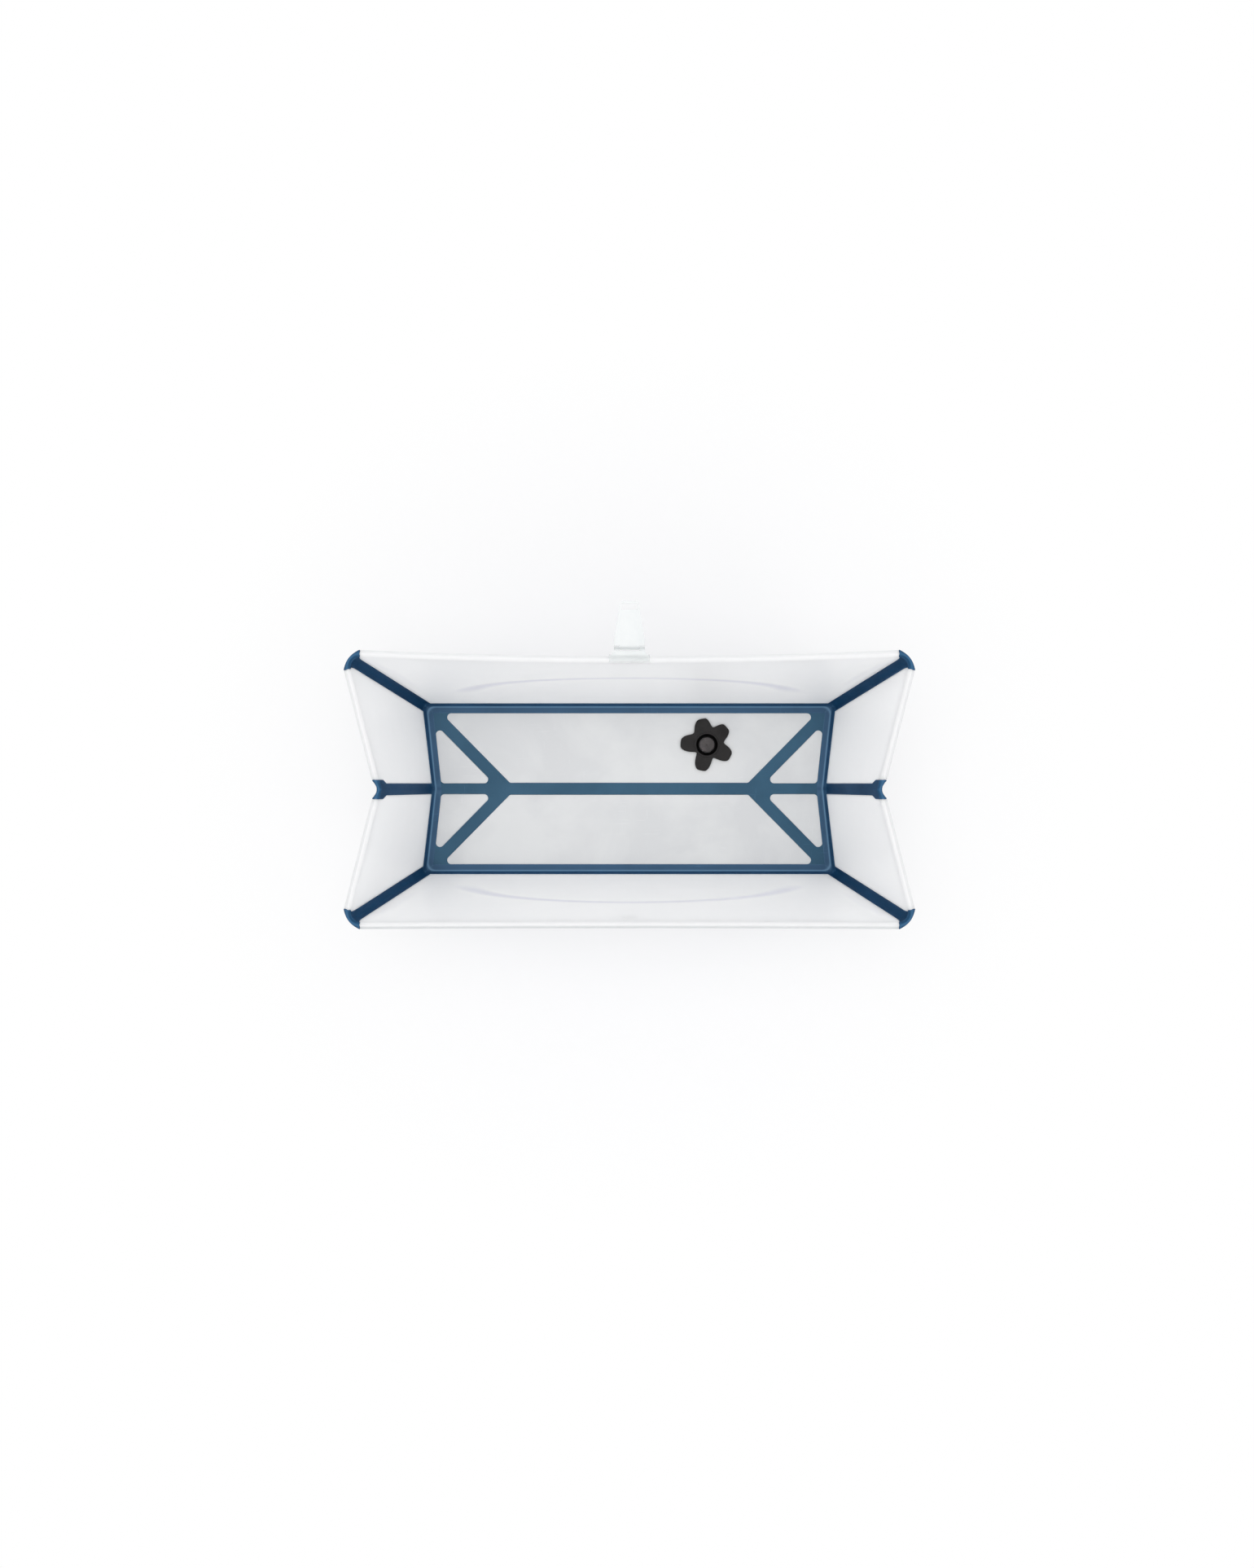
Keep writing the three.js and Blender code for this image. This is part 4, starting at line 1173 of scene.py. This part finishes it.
def edge_section(floor_width):
    """Points of the section: the distance outwards from the fold line, the height, the rounding."""
    points = []
    for i in range(FLANGE_ROWS):
        out = -floor_width + (floor_width - HOLLOW) * i / FLANGE_ROWS
        points.append((out, NET_Z, CORNER_HOLLOW * ease(i / FLANGE_ROWS)))
    for i in range(HOLLOW_STEPS + 1):
        angle = math.pi / 2 * i / HOLLOW_STEPS
        points.append((-HOLLOW * (1 - math.sin(angle)), NET_Z + HOLLOW * (1 - math.cos(angle)),
                       CORNER_HOLLOW + (CORNER_BEND - CORNER_HOLLOW) * i / HOLLOW_STEPS))
    for i in range(1, FLANGE_ROWS):
        z = NET_Z + HOLLOW + (FLANGE - HOLLOW) * i / (FLANGE_ROWS - 1)
        points.append((0, z, CORNER_BEND))
    return points


def edge_path(out, z, radius, lengthwise):
    """Half of a corner turn, from the mitre to the tangent, for one line of an edge strip.

    The long side's floor flange is a little wider, and its lines keep their share of it.
    """
    corner, first, second, end_out = corner_lines(z)
    out_long = out * LONG_FLOOR_WIDTH / END_FLOOR_WIDTH if out < -HOLLOW else out
    apex = crossing(corner + Vector((0, out_long)), first, corner + end_out * out, second)
    turn = rounded_turn(apex, first, second, radius / math.tan(first.angle(second) / 2) + 1e-6,
                        max(radius, 0.05 * MM), 2 * EDGE_ARC_STEPS, 1)
    middle = 1 + EDGE_ARC_STEPS
    return turn[middle:0:-1] if lengthwise else turn[middle:-1]


def edge_rows(lengthwise, straight_steps):
    rows = []
    for out, z, radius in section:
        path = edge_path(out, z, radius, lengthwise)
        if lengthwise:
            last = Vector((0, path[-1].y))
        else:
            second = corner_lines(z)[2]
            last = path[-1] + second * (path[-1].y / -second.y)
        path += [path[-1].lerp(last, (i + 1) / straight_steps) for i in range(straight_steps)]
        rows.append(raised(path, z))
    return rows


def on_any(places):
    """A test for points that lie on one of the given places."""
    return lambda place: any((place - other).length < TOUCH for other in places)


def hollow_light(place):
    """Painted light: 0 on the upright flange, a little on the flat one, and a painted highlight most
    in the hollow between them.
    """
    flat = FLAT_LIGHT_SHARE * ease((FLAT_TOP - place.z) / FLAT_FADE)
    return flat + (HOLLOW_HIGHLIGHT_SHARE - flat) * ease(1 - abs(place.z - BEND_LINE_Z) / BEND_LINE_HALF)


section = edge_section(END_FLOOR_WIDTH)
print("section points", len(section))

# %% [markdown]
# ### Along the long sides
# Half of a long strip is made from the diagonal to the middle of the tub, and a Mirror modifier
# adds the other half.

# %% The long edge strips
long_rows = edge_rows(True, 24)
long_edge = skin("long_edge_strip_far", long_rows)
mark_borders(long_edge, on_any([row[end] for row in long_rows for end in (0, -1)]))
modify(long_edge, "MIRROR", use_axis=(True, False, False), merge_threshold=TOUCH)
tidy_normals(long_edge)
thicken(long_edge, RUBBER)
soften(long_edge, STRIP_EDGE, method="WEIGHT")
# Painted highlight along the hollow, and painted light on the floor flange.
paint(long_edge, "bend", hollow_light)
near_edge = mirrored(long_edge, "long_edge_strip_near", 1, -1)
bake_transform(long_edge)
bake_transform(near_edge)
finish(long_edge, None, "strip_rubber", navy_edge_rubber, "long_edge_hinge_far")
finish(near_edge, None, "strip_rubber", navy_edge_rubber, "long_edge_hinge_near")

# %% [markdown]
# ### Across the ends
# The strip under an end wall crosses a fold that closes a loop, so it is made as two flaps that
# meet in the hollow: the lower one stays with the floor and the upper one with the wall.

# %% The end edge strips
MEET_ROW = FLANGE_ROWS + HOLLOW_STEPS // 2
FLAP_EDGE = 0.4 * MM
end_rows = edge_rows(False, 12)
end_seam = on_any(end_rows[MEET_ROW] + [row[end] for row in end_rows for end in (0, -1)])
flaps = {
    "triangle": skin("end_floor_flap_far_right", end_rows[:MEET_ROW + 1]),
    "end": skin("end_wall_flap_far_right", end_rows[MEET_ROW:]),
}
for body, flap in flaps.items():
    mark_borders(flap, end_seam)
    tidy_normals(flap)
    thicken(flap, RUBBER)
    soften(flap, FLAP_EDGE, angle=60, method="WEIGHT")
    # Painted highlight along the hollow, and painted light on the floor flange.
    paint(flap, "bend", hollow_light)
    for piece, side, end, x, y in quarters(flap):
        finish(piece, f"{body}_{side}_{end}", "strip_rubber", navy_edge_rubber,
               f"end_edge_hinge_{side}_{end}")

# %% [markdown]
# ## The strips in the floor
# The flat strips of the floor are one web of rubber in the real tub. Their outlines come from the
# crossing points of the net. Each starts as a filled circle with as many points as its outline
# has corners, and its points are moved there. Then it is bisected along its fold, so that it has
# rows of faces beside it, and extruded to its thickness. Only the edges beside a panel are rounded,
# so that two strips meet without a line.

# %% The crossing points of the floor
CENTRE_HALF = 10 * MM
DIAGONAL_HALF = 10 * MM
FLOOR_CREASE_HALF = 9 * MM

meet = Vector((MEET_X, 0))
diagonal = (FLOOR_CORNER - meet).normalized()
endwards = Vector((diagonal.y, -diagonal.x))
end_edge = (FLOOR_CORNER - Vector((END_FOOT_X, 0))).normalized()
end_inner = Vector((END_FOOT_X, 0)) + Vector((-end_edge.y, end_edge.x)) * END_FLOOR_WIDTH
across_x = Vector((1, 0))
long_inner = Vector((0, FLOOR_CORNER.y - LONG_FLOOR_WIDTH))
middle_line = meet - endwards * DIAGONAL_HALF
end_line = meet + endwards * DIAGONAL_HALF
crease_line = Vector((0, FLOOR_CREASE_HALF))
centre_side = crossing(middle_line, diagonal, Vector((0, CENTRE_HALF)), across_x)
crease_start = crossing(end_line, diagonal, crease_line, across_x)
long_side = crossing(middle_line, diagonal, long_inner, across_x)
end_side = crossing(end_line, diagonal, end_inner, end_edge)
corner_inner = crossing(long_inner, across_x, end_inner, end_edge)
crease_end = crossing(crease_line, across_x, end_inner, end_edge)
crease_tip = crossing(Vector((0, 0)), across_x, end_inner, end_edge)
print("meet", meet, "corner", corner_inner)

# %% A flat strip from its outline
WEB_EDGE = 0.6 * MM
FOLD_ROWS = (-6, -3, 0, 3, 6)  # millimetres from the fold


def flat_strip(name, outline, fold_start, fold_end, rows=FOLD_ROWS, sharp=()):
    """A flat strip with lines beside its fold. sharp lists the sides that meet other strips."""
    piece = add(bpy.ops.mesh.primitive_circle_add, name, vertices=len(outline), radius=0.1,
                fill_type="NGON", location=(0, 0, 0))
    for vert, place in zip(piece.data.vertices, outline):
        vert.co = (place.x, place.y, 0)
    across = (fold_end - fold_start).normalized()
    across = Vector((-across.y, across.x, 0))
    edit(piece)
    for row in rows:
        pick_all()
        bpy.ops.mesh.bisect(plane_co=fold_start.to_3d() + across * row * MM, plane_no=across)
    pick_all()
    extrude((0, 0, RUBBER))
    pick_all()
    bpy.ops.mesh.normals_make_consistent(inside=False)

    def beside_panel(edge):
        """A level edge on the outline, and not on a side that meets another strip."""
        ends = [vert.co for vert in edge.verts]
        if abs(ends[0].z - ends[1].z) > 1e-6:
            return False
        for i, first in enumerate(outline):
            line = (outline[(i + 1) % len(outline)] - first).normalized()
            if all(abs((place.to_2d() - first).cross(line)) < 0.02 * MM for place in ends):
                return i not in sharp
        return False

    pick(piece, "EDGE", beside_panel)
    bpy.ops.mesh.bevel(offset=WEB_EDGE, segments=3, profile=0.6)
    leave()
    tidy_normals(piece)
    smooth(piece, 40)
    level_flat_faces(piece)
    return piece


def flipped(point, x=1, y=1):
    return Vector((x * point.x, y * point.y))


# %% [markdown]
# ### Rounded corners in the floor
# Where two strips meet, the web is not cut sharp but rounds the corner of the panel. Each such
# filling is a small three-sided piece: two sides along the strips and an arc across the panel.
# It is almost as thick as the strips, so the thinner panel's corner lies inside it, and it moves
# with that panel.

# %% The corner fillings
FILLET = 7 * MM
FILLET_STEPS = 8
UNDER_STRIP = 1.2 * MM
FILLING_THINNER = 0.03


def corner_filling(name, corner, towards_a, towards_b):
    """The filling of one panel corner, whose borders run towards two other corners."""
    a, b = (towards_a - corner).normalized(), (towards_b - corner).normalized()
    inner = rounded_turn(corner, a, b, FILLET / math.tan(a.angle(b) / 2) + 1e-6, FILLET,
                         FILLET_STEPS, 1)
    outer = corner - (a + b).normalized() * UNDER_STRIP / math.sin(a.angle(b) / 2)
    outline = [outer, inner[0] + (outer - corner), *inner[1:-1], inner[-1] + (outer - corner)]
    piece = flat_strip(name, outline, outer, corner, rows=(), sharp=(0, len(outline) - 1))
    nudge(piece, lambda place: Vector((0, 0, (NET_Z - place.z) * FILLING_THINNER)))
    return piece


for kind, ends, corners in (
        ("floor", ("right",), [long_side, flipped(long_side, -1), flipped(centre_side, -1),
                               centre_side]),
        ("wedge", tuple(ENDS), [crease_start, crease_end, end_side])):
    for i, corner in enumerate(corners):
        filling = corner_filling(f"{kind}_filling_{i + 1}_far_right", corner, corners[i - 1],
                                 corners[(i + 1) % len(corners)])
        for piece, side, end, x, y in quarters(filling, ends):
            body = f"{side}_floor" if kind == "floor" else f"triangle_{side}_{end}"
            finish(piece, body, "strip_rubber", navy_floor_rubber)

# %% The centre strip
centre = flat_strip(
    "centre_strip",
    [meet, centre_side, flipped(centre_side, -1), flipped(meet, -1), flipped(centre_side, -1, -1),
     flipped(centre_side, 1, -1)],
    Vector((0, 0)), Vector((1, 0)), sharp=(0, 2, 3, 5))
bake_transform(centre)
finish(centre, None, "strip_rubber", navy_floor_rubber, "floor_centre_hinge")

# %% The diagonal strips
diagonal_strip = flat_strip(
    "diagonal_strip_far_right",
    [meet, crease_start, end_side, corner_inner, long_side, centre_side],
    meet, FLOOR_CORNER, sharp=(0, 2, 3, 5))
for piece, side, end, x, y in quarters(diagonal_strip):
    here = flipped(meet, x, y).to_3d()
    step = flipped(endwards, x, y).to_3d() * 7 * MM
    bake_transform(piece)
    finish(piece, None, "strip_rubber", navy_floor_rubber, f"diagonal_hinge_{side}_{end}")

# %% The crease strips of the floor's ends
floor_crease = flat_strip(
    "floor_crease_strip_far_right", [meet, crease_tip, crease_end, crease_start],
    Vector((0, 0)), Vector((1, 0)), rows=(), sharp=(0, 1, 3))
for piece, side, end, x, y in quarters(floor_crease):
    finish(piece, f"triangle_{side}_{end}", "strip_rubber", navy_floor_rubber,
           f"floor_end_crease_hinge_{end}")

# %% [markdown]
# ## The drain plug
# The plug is a soft five-petalled star that seats in a ring, with a raised rim, a deep groove and
# a rounded knob to press or pull. The star is a circle whose points are pulled in and out, bridged
# to a second circle inside it, extruded and rounded. The rim with its groove and the knob are
# turned: their outline is extruded point by point and then spun about the plug's axis, as on a
# lathe.

# %% Sizes of the drain
PLUG = Vector((131, 74, 0)) * MM
PETAL_ANGLES = (101, 42, -27, -103, 177)
NOTCH_SHARES = (0.7, 0.65, 0.56, 0.5, 0.67)
PETAL_RADIUS = 44.5
PETAL_HALF_WIDTH = 11.5
PETAL_CROWN = 0.45
PETAL_SPAN = 2 * math.degrees(math.asin(PETAL_HALF_WIDTH / PETAL_RADIUS))
STAR_POINTS = 180
STAR_HOLE = 18.6
STAR_DROP = 0.45
STAR_EDGE = 0.9
STAR_UNDER = 4.2
STAR_TOP = 6.6
RING_TOP = 3.9
GROOVE_FLOOR = 1.5
RIM_TOP = STAR_TOP + 1.4
KNOB_TOP = 10.4
TURNING_STEPS = 72


def star_radius(degrees):
    """How far the star reaches in a direction, in millimetres."""
    for i, angle in enumerate(PETAL_ANGLES):
        span = (angle - PETAL_ANGLES[(i + 1) % 5]) % 360
        turned_by = (angle - degrees) % 360
        if turned_by <= span:
            from_petal = min(turned_by, span - turned_by) / (span / 2)
            crown = PETAL_CROWN * PETAL_SPAN / span
            fall = ease((from_petal - crown) / (1 - crown))
            return PETAL_RADIUS * (1 + (NOTCH_SHARES[i] - 1) * fall)
    return PETAL_RADIUS


# %% The star
circle = {"vertices": STAR_POINTS, "location": PLUG + Vector((0, 0, STAR_UNDER * MM))}
star = add(bpy.ops.mesh.primitive_circle_add, "plug_star", radius=PETAL_RADIUS * MM, **circle)
for vert in star.data.vertices:
    spoke = vert.co.to_2d() - PLUG.to_2d()
    reach = star_radius(math.degrees(math.atan2(spoke.y, spoke.x))) * MM
    vert.co = (*(PLUG.to_2d() + spoke.normalized() * reach), vert.co.z)
edit(star)
bpy.ops.mesh.primitive_circle_add(radius=STAR_HOLE * MM, **circle)
bpy.ops.mesh.select_mode(type="EDGE")
pick_all()
bpy.ops.mesh.bridge_edge_loops(number_cuts=4, interpolation="LINEAR")
pick_all()
extrude((0, 0, (STAR_TOP - STAR_UNDER) * MM))
leave()


def star_crown(place):
    """Lets the top fall a little towards the tips of the petals."""
    share = ((place - PLUG).to_2d().length / MM - STAR_HOLE) / (PETAL_RADIUS - STAR_HOLE)
    fall = STAR_DROP * max(share, 0) ** 2 if place.z > (STAR_TOP - 0.1) * MM else 0
    return Vector((0, 0, -fall * MM))


nudge(star, star_crown)
tidy_normals(star)
soften(star, STAR_EDGE * MM, angle=50, segments=4)
finish(star, "plug", "drain_rubber", charcoal_rubber, "drain_plug")

# %% Turning a profile on the plug's axis


def turned_piece(name, profile):
    """A body of revolution on the plug's axis. The profile holds radii and heights."""
    piece = add(bpy.ops.mesh.primitive_plane_add, name, size=MM, location=PLUG)
    edit(piece)
    pick_all()
    bpy.ops.mesh.merge(type="CENTER")
    pick_all()
    places = [PLUG + Vector((radius, 0, z)) * MM for radius, z in profile]
    bpy.ops.transform.translate(value=places[0] - PLUG)
    for before, after in zip(places, places[1:]):
        extrude(after - before)
    pick_all()
    bpy.ops.mesh.spin(steps=TURNING_STEPS, angle=2 * math.pi, center=PLUG, axis=(0, 0, 1))
    leave()
    tidy_normals(piece)
    return piece


# %% The rim, the groove, the knob and the ring
rim = turned_piece("plug_rim", [
    (12.6, 0.7), (15.7, 0.7), (15.9, 0.9), (15.9, STAR_UNDER + 0.1), (21.2, STAR_UNDER + 0.3),
    (21.2, STAR_TOP - 0.2), (20.7, STAR_TOP + 0.3), (20.0, RIM_TOP - 0.4), (19.5, RIM_TOP - 0.1),
    (19.0, RIM_TOP), (18.5, RIM_TOP - 0.1), (18.1, RIM_TOP - 0.5), (17.8, RIM_TOP - 1.3),
    (17.2, STAR_UNDER + 1.2), (15.5, STAR_UNDER), (15.3, GROOVE_FLOOR + 0.4),
    (14.9, GROOVE_FLOOR), (12.6, GROOVE_FLOOR), (12.6, 0.7)])
smooth(rim, 50)
# Painted shade: the groove is near black, where light does not reach.
paint(rim, "groove", lambda place: ease((RIM_TOP * MM - place.z) / (1.2 * MM)) * ease(
    (18.5 * MM - (place - PLUG).to_2d().length) / (0.6 * MM)))
finish(rim, "plug", "drain_rubber", charcoal_rubber, "drain_plug")
knob = turned_piece("plug_knob", [
    (0, 0.5), (12.0, 0.5), (12.4, 0.9), (12.4, KNOB_TOP - 2.6), (12.3, KNOB_TOP - 1.8),
    (12.0, KNOB_TOP - 1.1), (11.4, KNOB_TOP - 0.6), (10.4, KNOB_TOP - 0.35), (7.5, KNOB_TOP - 0.1),
    (4, KNOB_TOP), (1.8, KNOB_TOP), (1.1, KNOB_TOP - 0.4), (0, KNOB_TOP - 0.7)])
smooth(knob, 50)
finish(knob, "plug", "drain_rubber", knob_rubber, "drain_plug")
seal = turned_piece("drain_ring", [
    (16.1, 0.7), (16.3, 0.5), (16.6, 0.5), (16.8, 0.7), (16.8, 2.8), (21.8, 2.8), (22, 3.0),
    (22, 3.6), (21.6, RING_TOP), (16.5, RING_TOP), (16.1, 3.6), (16.1, 0.7)])
soften(seal, 0.2 * MM, angle=50)
finish(seal, "far_floor", "drain_rubber", charcoal_rubber, "drain_seal_ring")

# %% [markdown]
# ## The closing strap
# The strap swings on a pin in a clip that wraps the far lip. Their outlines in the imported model
# are right, so copies of them are rounded: the real ones are soft mouldings without a sharp edge.
# The catch on the near wall, a stud with a hooked head, is finished in the same way.

# %% The strap, its clip, its pin and the catch
for node, name, body, slot, material, width in (
        ("closing_strap", "strap_blade", "strap", "clear_plastic", clear_plastic, 0.5),
        ("strap_root", "strap_clip", "far_wall", "clear_plastic", clear_plastic, 0.35),
        ("strap_hinge_pin", "strap_pin", "far_wall", "pin", pin_plastic, 0.2),
        ("latch_catch", "strap_catch", "near_wall", "clear_plastic", clear_plastic, 0.5)):
    finish(rounded_copy(node, name, width * MM, angle=40), body, slot, material, node)
